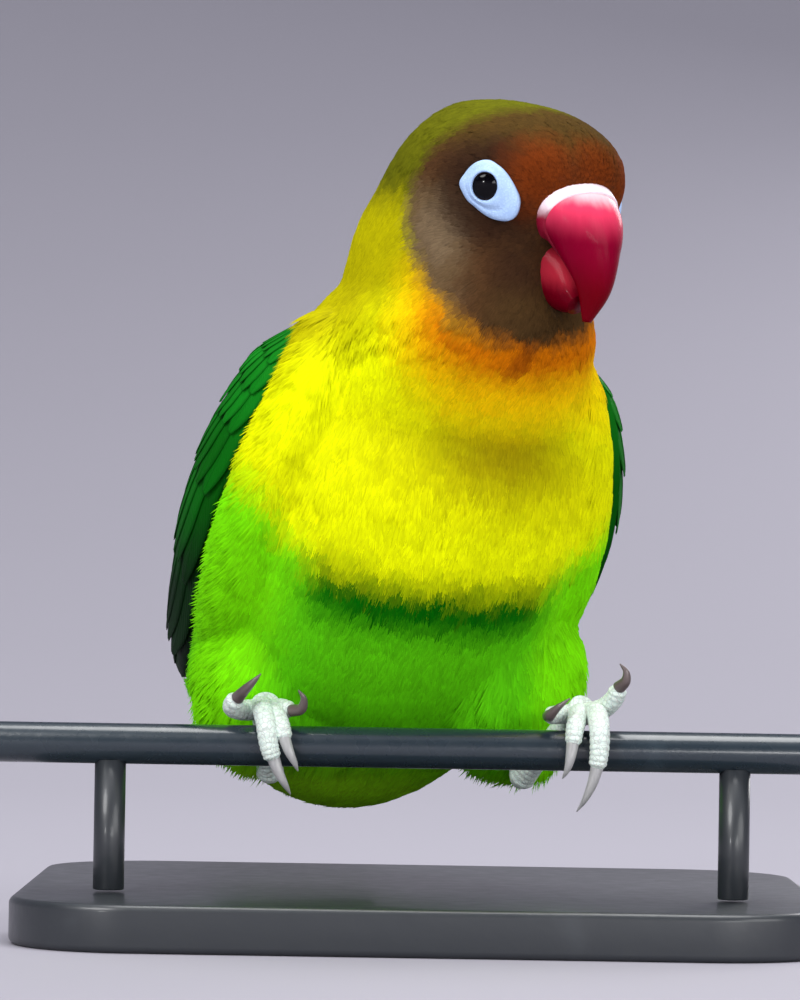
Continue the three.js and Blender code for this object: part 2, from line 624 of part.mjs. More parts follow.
const wingCut = join([trunkGrown, neckGrown, headGrown, ...thighGrown]);
const inTailFrame = (shape) => shape.transform(tailFrame.elements);
const tail = inTailFrame(join([solid(tailBlock()), ...tailVanes()])).subtract(trunkGrown);
for (const [name, side] of [["right", -1], ["left", 1]]) {
  const wing = join([solid(wingCore(side)), ...wingVanes(side)]).subtract(wingCut);
  bird.add(piece(`wing_${name}`, wing, paint("wing", 0.6)));
}
bird.add(piece("tail", tail, paint("tail", 0.65)));

for (const [name, foot] of Object.entries(FEET)) {
  const toeLimb = (toe, grow = 0) => solid(limb(toe, TOE_SIDES, 2 * toe.length - 1, grow));
  const tarsus = solid(limb(foot.tarsus, TOE_SIDES, 5));
  const toes = foot.toes.map((toe) => toeLimb(toe));
  let flesh = join([tarsus, ...toes]).subtract(railGrown).subtract(trunkGrown);
  thighGrown.forEach((grown) => (flesh = flesh.subtract(grown)));
  bird.add(piece(`foot_${name}`, flesh, paint("skin", 0.75)));
  const fleshGrown = join(foot.toes.map((toe) => toeLimb(toe, GAP)));
  foot.claws.forEach((claw, i) => {
    const horn = solid(limb(claw, CLAW_SIDES, 5)).subtract(fleshGrown);
    bird.add(piece(`claw_${name}_${i + 1}`, horn, paint("claw", 0.35)));
  });
}
bird.position.set(0, RAIL.setback, RAIL.height);

const rail = piece("perch_rail", solid(railGeometry()), paint("rail", 0.35));
rail.position.copy(bird.position);
const base = piece("stand_base", solid(baseGeometry()), paint("stand", 0.45));
const lovebird = new THREE.Group();
lovebird.add(bird, rail, base);
for (const [name, side] of [["right", -1], ["left", 1]]) {
  const foot = BASE.thickness + GAP;
  const rod = new THREE.CylinderGeometry(ROD.diameter / 2, ROD.diameter / 2, RAIL.height - foot, 20)
    .rotateX(Math.PI / 2)
    .translate((side * ROD.spread) / 2, RAIL.setback, (RAIL.height + foot) / 2);
  const saddle = railGrown.translate(rail.position.toArray());
  lovebird.add(piece(`stand_rod_${name}`, solid(rod).subtract(saddle), paint("stand", 0.35)));
}

export default lovebird;
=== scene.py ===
import math

import bmesh
import bpy
import numpy as np
from mathutils import Matrix, Vector
from mathutils.bvhtree import BVHTree


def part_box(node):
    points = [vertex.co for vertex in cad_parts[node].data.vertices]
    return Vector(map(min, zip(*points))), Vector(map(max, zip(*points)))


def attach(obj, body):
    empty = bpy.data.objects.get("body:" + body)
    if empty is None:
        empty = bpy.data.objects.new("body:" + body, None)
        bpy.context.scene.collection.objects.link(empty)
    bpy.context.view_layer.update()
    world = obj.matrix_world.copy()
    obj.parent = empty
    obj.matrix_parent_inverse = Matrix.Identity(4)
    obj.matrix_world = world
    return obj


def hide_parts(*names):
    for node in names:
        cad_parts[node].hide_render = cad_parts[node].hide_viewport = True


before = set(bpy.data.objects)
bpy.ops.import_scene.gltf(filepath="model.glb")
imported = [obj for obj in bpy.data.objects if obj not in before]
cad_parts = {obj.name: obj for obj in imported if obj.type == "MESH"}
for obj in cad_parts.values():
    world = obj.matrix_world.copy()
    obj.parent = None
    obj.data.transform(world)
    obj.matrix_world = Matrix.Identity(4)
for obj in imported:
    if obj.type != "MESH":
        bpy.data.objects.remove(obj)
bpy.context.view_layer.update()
MM = 0.001
rail_low, rail_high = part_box("perch_rail")
PERCH = (rail_low + rail_high) / 2
print("rail centre", [round(value / MM, 2) for value in PERCH], "mm")

# %% [markdown]
# The camera stands where the photograph was taken: level with the bird's breast, about 60 cm away
# with a long lens, and turned a little so that the rail slopes down to the right. The plain Standard
# view shows each colour as it was mixed, which the bird's pure yellow and green need.
# %% Camera
CAMERA_AT = (-3.46, -622.0, 46.5)
FOCAL_PIXELS = 4680
PICTURE_HEIGHT = 1000
SENSOR = 36.0
CAMERA_PITCH = 0.98
CAMERA_ROLL = 0.93


def turn(axis, degrees):
    return Matrix.Rotation(math.radians(degrees), 4, axis)


lens = bpy.data.cameras.new("portrait_camera")
lens.sensor_fit = "VERTICAL"
lens.sensor_height = SENSOR
lens.lens = FOCAL_PIXELS * SENSOR / PICTURE_HEIGHT
camera = bpy.data.objects.new("portrait_camera", lens)
bpy.context.collection.objects.link(camera)
camera_place = Matrix.Translation(Vector(CAMERA_AT) * MM)
camera.matrix_world = camera_place @ turn("X", 90 + CAMERA_PITCH) @ turn("Z", CAMERA_ROLL)
bpy.context.scene.camera = camera
bpy.context.scene.view_settings.view_transform = "Standard"
print("lens", round(lens.lens, 1), "mm")

# %% [markdown]
# A node tree is easier to read as a formula than as a diagram. Value wraps one socket, so that
# plain arithmetic on it adds Math nodes, and Tree makes every other node from its type, its
# settings and the values or links of its sockets. Materials and Geometry Nodes both use them.
# %% Formulas for node trees
def operator(operation, swapped=False):
    """A method that adds one Math node for an arithmetic sign or a named step."""
    def apply(self, *others):
        values = (*others, self) if swapped else (self, *others)
        return self.tree.node("ShaderNodeMath", {"operation": operation}, values)
    return apply


class Value:
    """One socket of a node tree that ordinary arithmetic works on."""

    def __init__(self, tree, socket):
        self.tree = tree
        self.socket = socket

    __add__ = operator("ADD")
    __radd__ = operator("ADD", swapped=True)
    __sub__ = operator("SUBTRACT")
    __rsub__ = operator("SUBTRACT", swapped=True)
    __mul__ = operator("MULTIPLY")
    __rmul__ = operator("MULTIPLY", swapped=True)
    __truediv__ = operator("DIVIDE")
    __pow__ = operator("POWER")
    size = operator("ABSOLUTE")
    wave = operator("SINE")
    above = operator("MAXIMUM")
    below = operator("MINIMUM")

    def __neg__(self):
        return self * -1.0


class Tree:
    """Adds nodes to a node tree and returns their outputs as values."""

    def __init__(self, nodes):
        self.nodes = nodes

    def node(self, kind, settings=None, values=(), output=0):
        made = self.nodes.nodes.new(kind)
        for name, setting in (settings or {}).items():
            setattr(made, name, setting)
        pairs = values.items() if isinstance(values, dict) else enumerate(values)
        for name, value in pairs:
            if isinstance(value, Value):
                self.nodes.links.new(value.socket, made.inputs[name])
            else:
                made.inputs[name].default_value = value
        return Value(self, made.outputs[output])


def paint(red, green, blue):
    """A colour as a screen shows it, 0 to 255, turned into the light that Blender mixes."""
    shares = [value / 255 for value in (red, green, blue)]
    light = [s / 12.92 if s <= 0.04045 else ((s + 0.055) / 1.055) ** 2.4 for s in shares]
    return (*light, 1.0)


class Finish(Tree):
    """A material with a Principled shader and the few patterns that this bird needs."""

    def __init__(self, name, **surface):
        self.material = bpy.data.materials.new(name)
        self.material.use_nodes = True
        super().__init__(self.material.node_tree)
        self.shader = self.nodes.nodes["Principled BSDF"]
        self.set(**surface)

    def set(self, **surface):
        for name, value in surface.items():
            socket = self.shader.inputs[name.replace("_", " ")]
            if isinstance(value, Value):
                self.nodes.links.new(value.socket, socket)
            else:
                socket.default_value = value

    def attribute(self, name, output=2):
        return self.node("ShaderNodeAttribute", {"attribute_name": name}, output=output)

    def place(self):
        return self.node("ShaderNodeTexCoord", output=3)

    def mix(self, first, second, share):
        settings = {"data_type": "RGBA", "blend_type": "MIX"}
        return self.node("ShaderNodeMix", settings, {0: share, 6: first, 7: second}, output=2)

    def rise(self, value, low, high):
        """0 below low, 1 above high, and a soft step between them."""
        settings = {"interpolation_type": "SMOOTHSTEP"}
        return self.node("ShaderNodeMapRange", settings, {0: value, 1: low, 2: high})

    def along(self, vector, direction):
        settings = {"operation": "DOT_PRODUCT"}
        return self.node("ShaderNodeVectorMath", settings, [vector, direction], output=1)

    def noise(self, vector, scale, detail=2.0):
        values = {"Vector": vector, "Scale": scale, "Detail": detail, "Roughness": 0.5}
        return self.node("ShaderNodeTexNoise", None, values)

    def stretched(self, vector, scale):
        return self.node("ShaderNodeMapping", None, {"Vector": vector, "Scale": scale})

    def relief(self, height, depth):
        """A bump from a height between 0 and 1; depth is its real depth in metres."""
        values = {"Height": height, "Distance": depth, "Strength": 1.0}
        self.set(Normal=self.node("ShaderNodeBump", None, values))


print("node helpers ready")

# %% [markdown]
# The stage is a pale bowl whose floor curves up into a far wall, so that no horizon shows from any
# side. The light is that of a bright room: a large soft lamp high in front on the left, a wide fill
# on the right, one overhead, one behind that lifts the back from the wall, a low one for the belly,
# and a small one whose mirror image is the bright dot in the eye.
# %% Stage and light
BOWL = {"radius": 2.6, "curve": 2.2, "height": 3.0, "sides": 96, "steps": 20}
bowl_profile = [(0.0, 0.0), (BOWL["radius"] - BOWL["curve"], 0.0)]
for step in range(1, BOWL["steps"] + 1):
    angle = math.pi / 2 * step / BOWL["steps"]
    reach = BOWL["radius"] - BOWL["curve"] * (1 - math.sin(angle))
    bowl_profile.append((reach, BOWL["curve"] * (1 - math.cos(angle))))
bowl_profile.append((BOWL["radius"], BOWL["height"]))


def add_object(name, mesh):
    made = bpy.data.objects.new(name, mesh)
    bpy.context.collection.objects.link(made)
    return made


def mesh_of(name, points, faces):
    mesh = bpy.data.meshes.new(name)
    mesh.from_pydata([tuple(point) for point in points], [], [tuple(face) for face in faces])
    mesh.update()
    mesh.shade_smooth()
    return mesh


def dressed(piece, material, slot, *nodes):
    """Gives a piece its finish and hides the solids that it stands for; slot is not used."""
    piece.data.materials.clear()
    piece.data.materials.append(material)
    piece.data.shade_smooth()
    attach(piece, "root")
    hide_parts(*nodes)


def bowl_mesh():
    sides = BOWL["sides"]
    angles = [2 * math.pi * side / sides for side in range(sides)]
    points = [(0.0, 0.0, 0.0)]
    for reach, height in bowl_profile[1:]:
        points += [(reach * math.cos(a), reach * math.sin(a), height) for a in angles]
    faces = [(0, 1 + side, 1 + (side + 1) % sides) for side in range(sides)]
    for ring in range(len(bowl_profile) - 2):
        start = 1 + ring * sides
        for side in range(sides):
            after = (side + 1) % sides
            faces.append((start + side, start + sides + side, start + sides + after, start + after))
    return mesh_of("stage_floor", points, faces)


floor = add_object("stage_floor", bowl_mesh())
floor_finish = Finish("stage_paint", Base_Color=paint(154, 151, 161), Roughness=0.9)
floor.data.materials.append(floor_finish.material)

LAMPS = {
    "key": {"at": (-0.75, -0.95, 1.05), "size": 0.7, "watts": 16.8},
    "fill": {"at": (0.95, -0.8, 0.45), "size": 0.9, "watts": 8.0},
    "top": {"at": (0.1, 0.05, 1.3), "size": 0.9, "watts": 13.6},
    "back": {"at": (0.6, 1.1, 0.6), "size": 0.6, "watts": 5.0},
    "low": {"at": (0.4, -1.05, 0.09), "size": 0.5, "watts": 5.6},
    "glint": {"at": (-0.623, -1.165, 0.278), "size": 0.12, "watts": 2.0},
}
AIM = Vector((0.0, -0.02, 0.06))
for lamp_name, lamp in LAMPS.items():
    light = bpy.data.lights.new(lamp_name, "AREA")
    light.shape = "DISK"
    light.size = lamp["size"]
    light.energy = lamp["watts"]
    lamp_object = add_object(lamp_name, light)
    lamp_object.location = lamp["at"]
    toward = AIM - Vector(lamp["at"])
    lamp_object.rotation_euler = toward.to_track_quat("-Z", "Y").to_euler()

world = bpy.data.worlds.new("room_light")
world.use_nodes = True
bpy.context.scene.world = world
room = world.node_tree.nodes["Background"]
room.inputs["Color"].default_value = paint(214, 218, 230)
room.inputs["Strength"].default_value = 0.72
print("stage and", len(LAMPS), "lamps")

# %% [markdown]
# A bird's body is a stack of sections that change smoothly, so a short table of sections and a
# smooth curve through them describe it better than hundreds of points would. blend() is that curve,
# the same Catmull-Rom spline as in the part's source, and it works on whole arrays at once.
# %% Curves through tables
STEP = 1e-3


def blend(rows, t):
    """The row of a table at t from 0 to 1, on a smooth curve through its rows."""
    rows = np.asarray(rows, float)
    place = np.asarray(t, float) * (len(rows) - 1)
    whole = np.clip(np.floor(place).astype(int), 0, len(rows) - 2)
    u = (place - whole)[..., None]
    padded = np.vstack([2 * rows[0] - rows[1], rows, 2 * rows[-1] - rows[-2]])
    p0, p1, p2, p3 = (padded[whole + k] for k in range(4))
    bend = 2 * p0 - 5 * p1 + 4 * p2 - p3 + u * (3 * (p1 - p2) + p3 - p0)
    return p1 + 0.5 * u * (p2 - p0 + u * bend)


def columns(rows, t):
    return np.moveaxis(blend(rows, t), -1, 0)


def unit(vectors):
    return vectors / np.maximum(np.linalg.norm(vectors, axis=-1, keepdims=True), 1e-12)


def placed(matrix, x, y, z):
    points = np.stack(np.broadcast_arrays(x, y, z), -1)
    return points @ matrix[:3, :3].T + matrix[:3, 3]


def loft_point(matrix, table, t, angle, lift=0.0):
    """A point of a form whose sections stand across its run, at an angle round it from underneath."""
    y, z, half, under, over = columns(table, t)
    run = unit((blend(table, t + STEP) - blend(table, t - STEP))[..., :2])
    deep = np.cos(angle) * (np.where(np.cos(angle) > 0, under, over) + lift)
    across = (half + lift) * np.sin(angle)
    return placed(matrix, across, y - run[..., 1] * deep, z + run[..., 0] * deep)


PERCH_FRAME = np.array(Matrix.Translation(PERCH) @ Matrix.Scale(MM, 4))
BODY_SHIFT, BODY_YAW, BODY_ROLL = -1.6, 17, 4.5
HEAD_AT, HEAD_YAW, HEAD_ROLL, HEAD_PITCH = (10.4, -6.2, 69.3), 45, 3, 6
body_turn = Matrix.Translation((BODY_SHIFT, 0, 0)) @ turn("Z", BODY_YAW) @ turn("Y", BODY_ROLL)
head_turn = turn("Z", HEAD_YAW) @ turn("Y", HEAD_ROLL) @ turn("X", HEAD_PITCH)
BODY_FRAME = PERCH_FRAME @ np.array(body_turn)
HEAD_FRAME = PERCH_FRAME @ np.array(Matrix.Translation(HEAD_AT) @ head_turn)
print("body turned", BODY_YAW, "degrees and head", HEAD_YAW)

# %% [markdown]
# These are the sections of trunk and head. A trunk row holds the y and z of the section's middle,
# its half width, its depth to the belly and its depth to the back. A head row holds the height, the
# middle's y, the half width, and the depths to the face and to the nape.
# %% Sections of the trunk and head
TRUNK = [
    [57, -2.4, 6.2, 5.4, 4.6],
    [48, 1.5, 11.5, 11, 7],
    [37, 7.5, 19.5, 19.4, 12],
    [26, 16, 23.3, 23.2, 16],
    [15, 26.5, 24.6, 23, 18],
    [7, 37, 23.6, 20.5, 17],
    [2.2, 46.5, 20.2, 17, 16],
]
HEAD = [
    [-12, 5, 16.6, 15.4, 18.8],
    [-8, 4.2, 16.2, 14, 18.8],
    [-4, 3.4, 15.6, 13.8, 18.4],
    [0, 2.3, 14.9, 14.9, 17.3],
    [4, 1.5, 14.3, 15.9, 15.8],
    [7.6, 1.1, 12.7, 14.7, 13.8],
    [10.6, 1.3, 9.8, 11.6, 10.8],
    [12.7, 1.9, 5.8, 6.9, 6.6],
    [13.7, 2.4, 0, 0, 0],
]
NECK_SWELL = 1.7


def trunk_point(t, angle, lift=0.0):
    return loft_point(BODY_FRAME, TRUNK, t, angle, lift)


def head_point(t, angle, lift=0.0):
    z, y, half, front, back = columns(HEAD, t)
    share = lift * np.minimum(1, half / HEAD[0][2])
    deep = np.cos(angle) * (np.where(np.cos(angle) > 0, front, back) + share)
    rise = np.where(np.asarray(t) > 0.5, lift * (2 * np.asarray(t) - 1), 0)
    return placed(HEAD_FRAME, (half + share) * np.sin(angle), y - deep, z + rise)


def neck_point(t, angle, given=0.0):
    """Leaves the trunk and meets the head along their own slopes, swelling between them."""
    t = np.asarray(t)[..., None]
    lift = given + NECK_SWELL * 4 * t[..., 0] * (1 - t[..., 0])
    low = trunk_point(1.0, angle, lift)
    high = head_point(0.0, angle, lift)
    reach = np.linalg.norm(high - low, axis=-1, keepdims=True)
    leave = unit(low - trunk_point(1 - 20 * STEP, angle, lift)) * reach
    arrive = unit(head_point(20 * STEP, angle, lift) - high) * reach
    square, cube = t**2, t**3
    start = (2 * cube - 3 * square + 1) * low + (cube - 2 * square + t) * leave
    return start + (3 * square - 2 * cube) * high + (cube - square) * arrive


def limb_rings(stops, sides, rows, grow=0.0):
    """Rings round a path; each stop is x, y, z and a radius, measured from the rail's centre."""
    t = np.linspace(0, 1, rows + 1)
    run = unit((blend(stops, t + STEP) - blend(stops, t - STEP))[:, :3])
    middle = blend(stops, t)
    angles = np.linspace(0, 2 * np.pi, sides, endpoint=False)[:, None]
    across = np.array([1.0, 0.0, 0.01])
    rings = []
    for forward, (x, y, z, radius) in zip(run, middle):
        across = unit(across - forward * np.dot(across, forward))
        up = np.cross(forward, across)
        spoke = np.cos(angles) * across + np.sin(angles) * up
        rings.append(np.array([x, y, z]) + (radius + grow) * spoke)
    rings = np.array(rings)
    return placed(PERCH_FRAME, rings[..., 0], rings[..., 1], rings[..., 2])


def closed_rings(rings):
    """Points and faces of a closed form through rings, with a fan over each end."""
    count, sides = rings.shape[:2]
    points = list(rings.reshape(-1, 3))
    faces = []
    for ring in range(count - 1):
        for side in range(sides):
            a, b = ring * sides + side, ring * sides + (side + 1) % sides
            faces.append((a, b, b + sides, a + sides))
    for ring in (0, count - 1):
        middle = len(points)
        points.append(rings[ring].mean(0))
        for side in range(sides):
            a, b = ring * sides + side, ring * sides + (side + 1) % sides
            faces.append((middle, b, a) if ring == 0 else (middle, a, b))
    return points, faces


def outward(mesh):
    """Turns a closed mesh's faces to the outside."""
    shape = bmesh.new()
    shape.from_mesh(mesh)
    bmesh.ops.remove_doubles(shape, verts=shape.verts, dist=1e-7)
    bmesh.ops.recalc_face_normals(shape, faces=shape.faces)
    shape.to_mesh(mesh)
    shape.free()
    return mesh


def ring_mesh(name, rings):
    return outward(mesh_of(name, *closed_rings(rings)))


print("head sections", len(HEAD), "and trunk sections", len(TRUNK))

# %% [markdown]
# A folded wing lies on a shell over the body's side, and its feathers overlap in tiers like tiles:
# long primaries and secondaries first, then the coverts in ever shorter rows up to the shoulder.
# Tiers are named by where their roots and tips lie, from 0 at the wing tip to 1 at the shoulder.
# The rows here follow the solids' tiers with more and finer feathers in each.
# %% Wing shell
MANTLE = [
    [76, -1, 5, 3, 3.8],
    [62, 0.5, 11, 6, 7.6],
    [48, 5, 18.5, 11, 11.4],
    [37, 9, 23.6, 16, 15.4],
    [26, 16.5, 27, 23, 19.7],
    [15, 26.5, 29, 25, 21.7],
    [7, 37, 28.2, 23, 20.9],
    [2.2, 46.5, 24.9, 19, 19.6],
    [0.2, 54, 20.3, 15, 18],
]
WING_EDGES = [
    [150, 2], [136, 1.5], [108, 1.5], [90, 2.5], [80, 8], [77, 17], [76, 28], [76, 40], [80, 52],
]
WING = {"from": 0.16, "inside": 4.6, "shoulder": 0.86, "tuck": 3.4, "hem": 0.16, "hem_drop": 1.0}
WING_CORE = [[1.5], [1.4], [1.4], [1.3], [1.2], [0.4]]
CORE_GRID = (28, 15)
SIDES = {"right": -1, "left": 1}
DROOP = {-1: 12, 1: -2}
DROOP_AT, DROOP_REACH = 0.38, 0.3


def wing_angle(side, t, s):
    low, high = columns(WING_EDGES, t)
    droop = DROOP[side] * np.maximum(0, 1 - np.abs(t - DROOP_AT) / DROOP_REACH)
    return np.radians(low - droop + (180 - high - low + droop) * s)


def wing_point(side, t, s, lift):
    """The shoulder and both edges curl in towards the body."""
    tuck = WING["tuck"] * np.maximum(0, (t - WING["shoulder"]) / (1 - WING["shoulder"])) ** 2
    edge = np.minimum(s, 1 - s)
    hem = WING["hem_drop"] * np.maximum(0, 1 - edge / WING["hem"]) ** 2
    return loft_point(BODY_FRAME, MANTLE, t, side * wing_angle(side, t, s), lift - tuck - hem)


def wing_width(side, t):
    """The wing's width at t in millimetres, measured along its surface."""
    t = np.asarray(t, float)[..., None]
    s = np.linspace(0, 1, 16)
    points = wing_point(side, t + 0 * s, s + 0 * t, 0.0)
    return np.linalg.norm(np.diff(points, axis=-2), axis=-1).sum(-1) / MM


def wing_core_rings(side):
    share = np.linspace(0, 1, CORE_GRID[0])[:, None]
    t = WING["from"] + (1 - WING["from"]) * share
    s = np.linspace(0, 1, CORE_GRID[1])[None, :]
    depth = columns(WING_CORE, share)[0] * np.minimum(1, 0.3 + 4 * s)
    outer = wing_point(side, t + 0 * s, s + 0 * t, -depth)
    angle = side * wing_angle(side, t + 0 * s, 1 - s + 0 * t)
    inner = loft_point(BODY_FRAME, MANTLE, t + 0 * s, angle, -WING["inside"])
    return np.concatenate([outer, inner], axis=1)


print("right wing is", round(float(wing_width(-1, 0.6)), 1), "mm wide at its middle")

# %% [markdown]
# Under its feathers a bird has one unbroken skin. Trunk, neck and head are a single loft, and the
# thighs are two more. The plumage hides the folds between them, so softer forms fill both groins and
# the right flank, and a long pad beside each wing lifts the flank level with it, for a resting bird
# tucks its wing edge under its flank feathers. A voxel remesh melts all of them into one closed
# surface, which a little smoothing relaxes. It lies inside the solids by the depth of the plumage.
# %% One skin
THIGHS = {
    "right": [[-17, 14, 24, 5], [-19, 13.5, 17, 10.4], [-20.2, 13.8, 9, 10.6],
              [-20.8, 13.6, 2, 8.4], [-20.4, 13.4, -2.6, 4]],
    "left": [[9, 20, 23, 5], [10.4, 19.4, 16, 10], [11.4, 18.4, 8, 10.2],
             [12.4, 16.6, 1.5, 8], [13, 14.6, -2.6, 4]],
}
GROINS = {
    "right": [[-11, 14, 22, 4], [-12.5, 12.4, 16, 8.2], [-13, 12.6, 9, 8.4],
              [-13, 13.2, 3, 7], [-13, 14, -2, 4]],
    "left": [[3, 13, 23, 4], [5, 13.2, 16, 9.4], [7, 14.4, 9, 9.6],
             [9, 15, 3, 8], [9, 15.6, -2, 4]],
    "flank": [[-15, 12, 33, 5], [-16.5, 11.2, 27, 9.2], [-18, 11.6, 21, 10.2], [-19.2, 12.6, 14, 10.2]],
}
FLANK_PAD = {
    "from": 0.42, "to": 1.0, "ahead": 8.0, "radius": [[2.4], [4.4], [4.8], [4.6], [3.6]], "steps": 18,
    "grid": (24, 40),
}
LIMB_GRID = (40, 24)
PAD_DEPTH = {-1: 0.0, 1: 1.3}
SKIN = {"sides": 96, "trunk": 44, "neck": 12, "head": 48, "voxel": 0.75, "smoothing": 16}
DEPTH = {"body": 1.0, "face": 0.45, "thigh": 0.9}


def skin_rings():
    angles = np.linspace(0, 2 * np.pi, SKIN["sides"], endpoint=False)[None, :]
    t = np.linspace(0, 1, SKIN["trunk"])[:, None]
    trunk = trunk_point(t, angles, -DEPTH["body"])
    t = np.linspace(0, 1, SKIN["neck"] + 2)[1:-1, None]
    neck = neck_point(t + 0 * angles, angles + 0 * t, -DEPTH["body"])
    t = np.linspace(0, 0.995, SKIN["head"])[:, None]
    depth = DEPTH["body"] + (DEPTH["face"] - DEPTH["body"]) * np.clip(3 * t, 0, 1)
    head = head_point(t, angles, -depth)
    return np.concatenate([trunk, neck, head])


def flank_pad_rings(side):
    """A limb just ahead of the wing's lower edge, whose outside is level with the wing's."""
    share = np.linspace(0, 1, FLANK_PAD["steps"])
    t = FLANK_PAD["from"] + (FLANK_PAD["to"] - FLANK_PAD["from"]) * share
    radius = columns(FLANK_PAD["radius"], share)[0]
    angle = side * (wing_angle(side, t, 0.0) - math.radians(FLANK_PAD["ahead"]))
    middle = loft_point(BODY_FRAME, MANTLE, t, angle, -radius - DEPTH["body"] - PAD_DEPTH[side])
    in_perch = (middle - PERCH_FRAME[:3, 3]) / MM
    return limb_rings(np.column_stack([in_perch, radius]), *FLANK_PAD["grid"])


def with_modifier(source, kind, **settings):
    modifier = source.modifiers.new(kind.lower(), kind)
    for name, value in settings.items():
        setattr(modifier, name, value)
    return modifier


def baked_modifiers(source):
    """The object's evaluated shape as a plain mesh of its own, with the modifiers gone."""
    graph = bpy.context.evaluated_depsgraph_get()
    mesh = bpy.data.meshes.new_from_object(source.evaluated_get(graph))
    source.modifiers.clear()
    source.data = mesh
    return mesh


def joined(name, forms):
    points, faces = [], []
    for form_points, form_faces in forms:
        start = len(points)
        points += list(form_points)
        faces += [tuple(start + corner for corner in face) for face in form_faces]
    return outward(mesh_of(name, points, faces))


skin_forms = [closed_rings(skin_rings())]
for stops in [*THIGHS.values(), *GROINS.values()]:
    skin_forms.append(closed_rings(limb_rings(stops, *LIMB_GRID, -DEPTH["thigh"])))
for side in SIDES.values():
    skin_forms.append(closed_rings(flank_pad_rings(side)))
skin = add_object("skin", joined("skin", skin_forms))
with_modifier(skin, "REMESH", mode="VOXEL", voxel_size=SKIN["voxel"] * MM)
with_modifier(skin, "SMOOTH", factor=0.5, iterations=SKIN["smoothing"])
baked_modifiers(skin)
skin.data.shade_smooth()
print("skin", len(skin.data.polygons), "faces")

# %% [markdown]
# Feathers follow a lie. On the face they point away from the bill on every side, and further back
# they turn to run down the neck and trunk to the tail. Beside a wing they lean out over its edge.
# Each point of the skin stores this direction, the feather's length and width there, and how
# thickly it is feathered: not under the wings, the eye rings and the bill, where nothing would show.
# %% Lie and size of the plumage
BILL_ROOT = placed(HEAD_FRAME, 0.0, -11.0, -1.0)
SHELTER = {"wing_right": 9.0, "wing_left": 9.0, "tail": 5.0}
FEATHER_LENGTH = [[5, 1.0], [9, 1.5], [14, 2.1], [20, 3.1], [30, 4.4], [45, 5.6], [70, 6.4]]
FEATHER_WIDTH = [[5, 0.6], [9, 0.75], [14, 0.95], [20, 1.2], [30, 1.6], [45, 2.0], [70, 2.2]]
FRINGE = {"reach": 5.0, "from": 0.4, -1: 1.1, 1: 0.3}
AXIS_REACH = 6.0
LIE_TURNS = {"from": 12, "over": 22}
AROUND_FACE = ("eye_ring_right", "eye_ring_left", "cere", "bill_lower")
FACE_REACH = 2.2

point_count = len(skin.data.vertices)
skin_at = np.empty(point_count * 3)
skin.data.vertices.foreach_get("co", skin_at)
skin_at = skin_at.reshape(-1, 3)
skin_out = np.array([vertex.normal[:] for vertex in skin.data.vertices])

axis_t = np.linspace(0, 1, 60)
trunk_axis = placed(BODY_FRAME, 0.0, *columns([row[:2] for row in TRUNK], axis_t))
head_axis = placed(HEAD_FRAME, 0.0, *columns([row[1::-1] for row in HEAD], axis_t))
axis = np.concatenate([trunk_axis, head_axis[5:]])
axis_run = unit(np.gradient(axis, axis=0))
gaps = ((skin_at[:, None, :] - axis[None, :, :]) ** 2).sum(2)
spread = 2 * (AXIS_REACH * MM) ** 2
weights = np.exp(-gaps / spread + gaps.min(1, keepdims=True) / spread)
flow = -unit(weights @ axis_run)
from_bill = skin_at - BILL_ROOT
far = np.linalg.norm(from_bill, axis=1) / MM
turning = np.clip((far - LIE_TURNS["from"]) / LIE_TURNS["over"], 0, 1)[:, None]
lie = unit(from_bill) * (1 - turning) + flow * turning


def tangent(vectors):
    """The share of each vector that lies in the skin."""
    return vectors - skin_out * (vectors * skin_out).sum(1, keepdims=True)


lie = unit(tangent(lie))
for side in SIDES.values():
    edge_t = np.linspace(FRINGE["from"], 1.0, 60)
    edge = wing_point(side, edge_t, 0.0 * edge_t, 0.0)
    gap = np.linalg.norm(skin_at[:, None, :] - edge[None, :, :], axis=2).min(1) / MM
    near = np.exp(-((gap / FRINGE["reach"]) ** 2))[:, None]
    over_wing = unit(side * BODY_FRAME[:3, 0] + BODY_FRAME[:3, 1])
    lie = unit(lie + FRINGE[side] * near * tangent(np.broadcast_to(over_wing, lie.shape)))
feather_length = np.interp(far, *zip(*FEATHER_LENGTH)) * MM
feather_width = np.interp(far, *zip(*FEATHER_WIDTH)) * MM


def tree_of(node_name):
    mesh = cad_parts[node_name].data
    corners = [vertex.co[:] for vertex in mesh.vertices]
    return BVHTree.FromPolygons(corners, [face.vertices[:] for face in mesh.polygons])


def sheltered(node_name, reach):
    """1 where the node lies close over the skin."""
    tree = tree_of(node_name)
    found = np.zeros(point_count)
    for index, (at, out) in enumerate(zip(skin_at, skin_out)):
        start = Vector(at) + Vector(out) * 0.1 * MM
        if tree.ray_cast(start, Vector(out), reach * MM)[0] is not None:
            found[index] = 1.0
    return found


cover = np.ones(point_count)
for node_name, reach in SHELTER.items():
    cover *= 1 - sheltered(node_name, reach)
for node_name in AROUND_FACE:
    cover *= 1 - sheltered(node_name, FACE_REACH)


def store(mesh, name, kind, values):
    layer = mesh.attributes.new(name, kind, "POINT")
    field = "value" if kind == "FLOAT" else "vector"
    layer.data.foreach_set(field, np.asarray(values, float).ravel())


store(skin.data, "lie", "FLOAT_VECTOR", lie)
store(skin.data, "root", "FLOAT_VECTOR", skin_at)
store(skin.data, "feather_length", "FLOAT", feather_length)
store(skin.data, "feather_width", "FLOAT", feather_width)
print("feathered share of the skin", round(float(cover.mean()), 2))
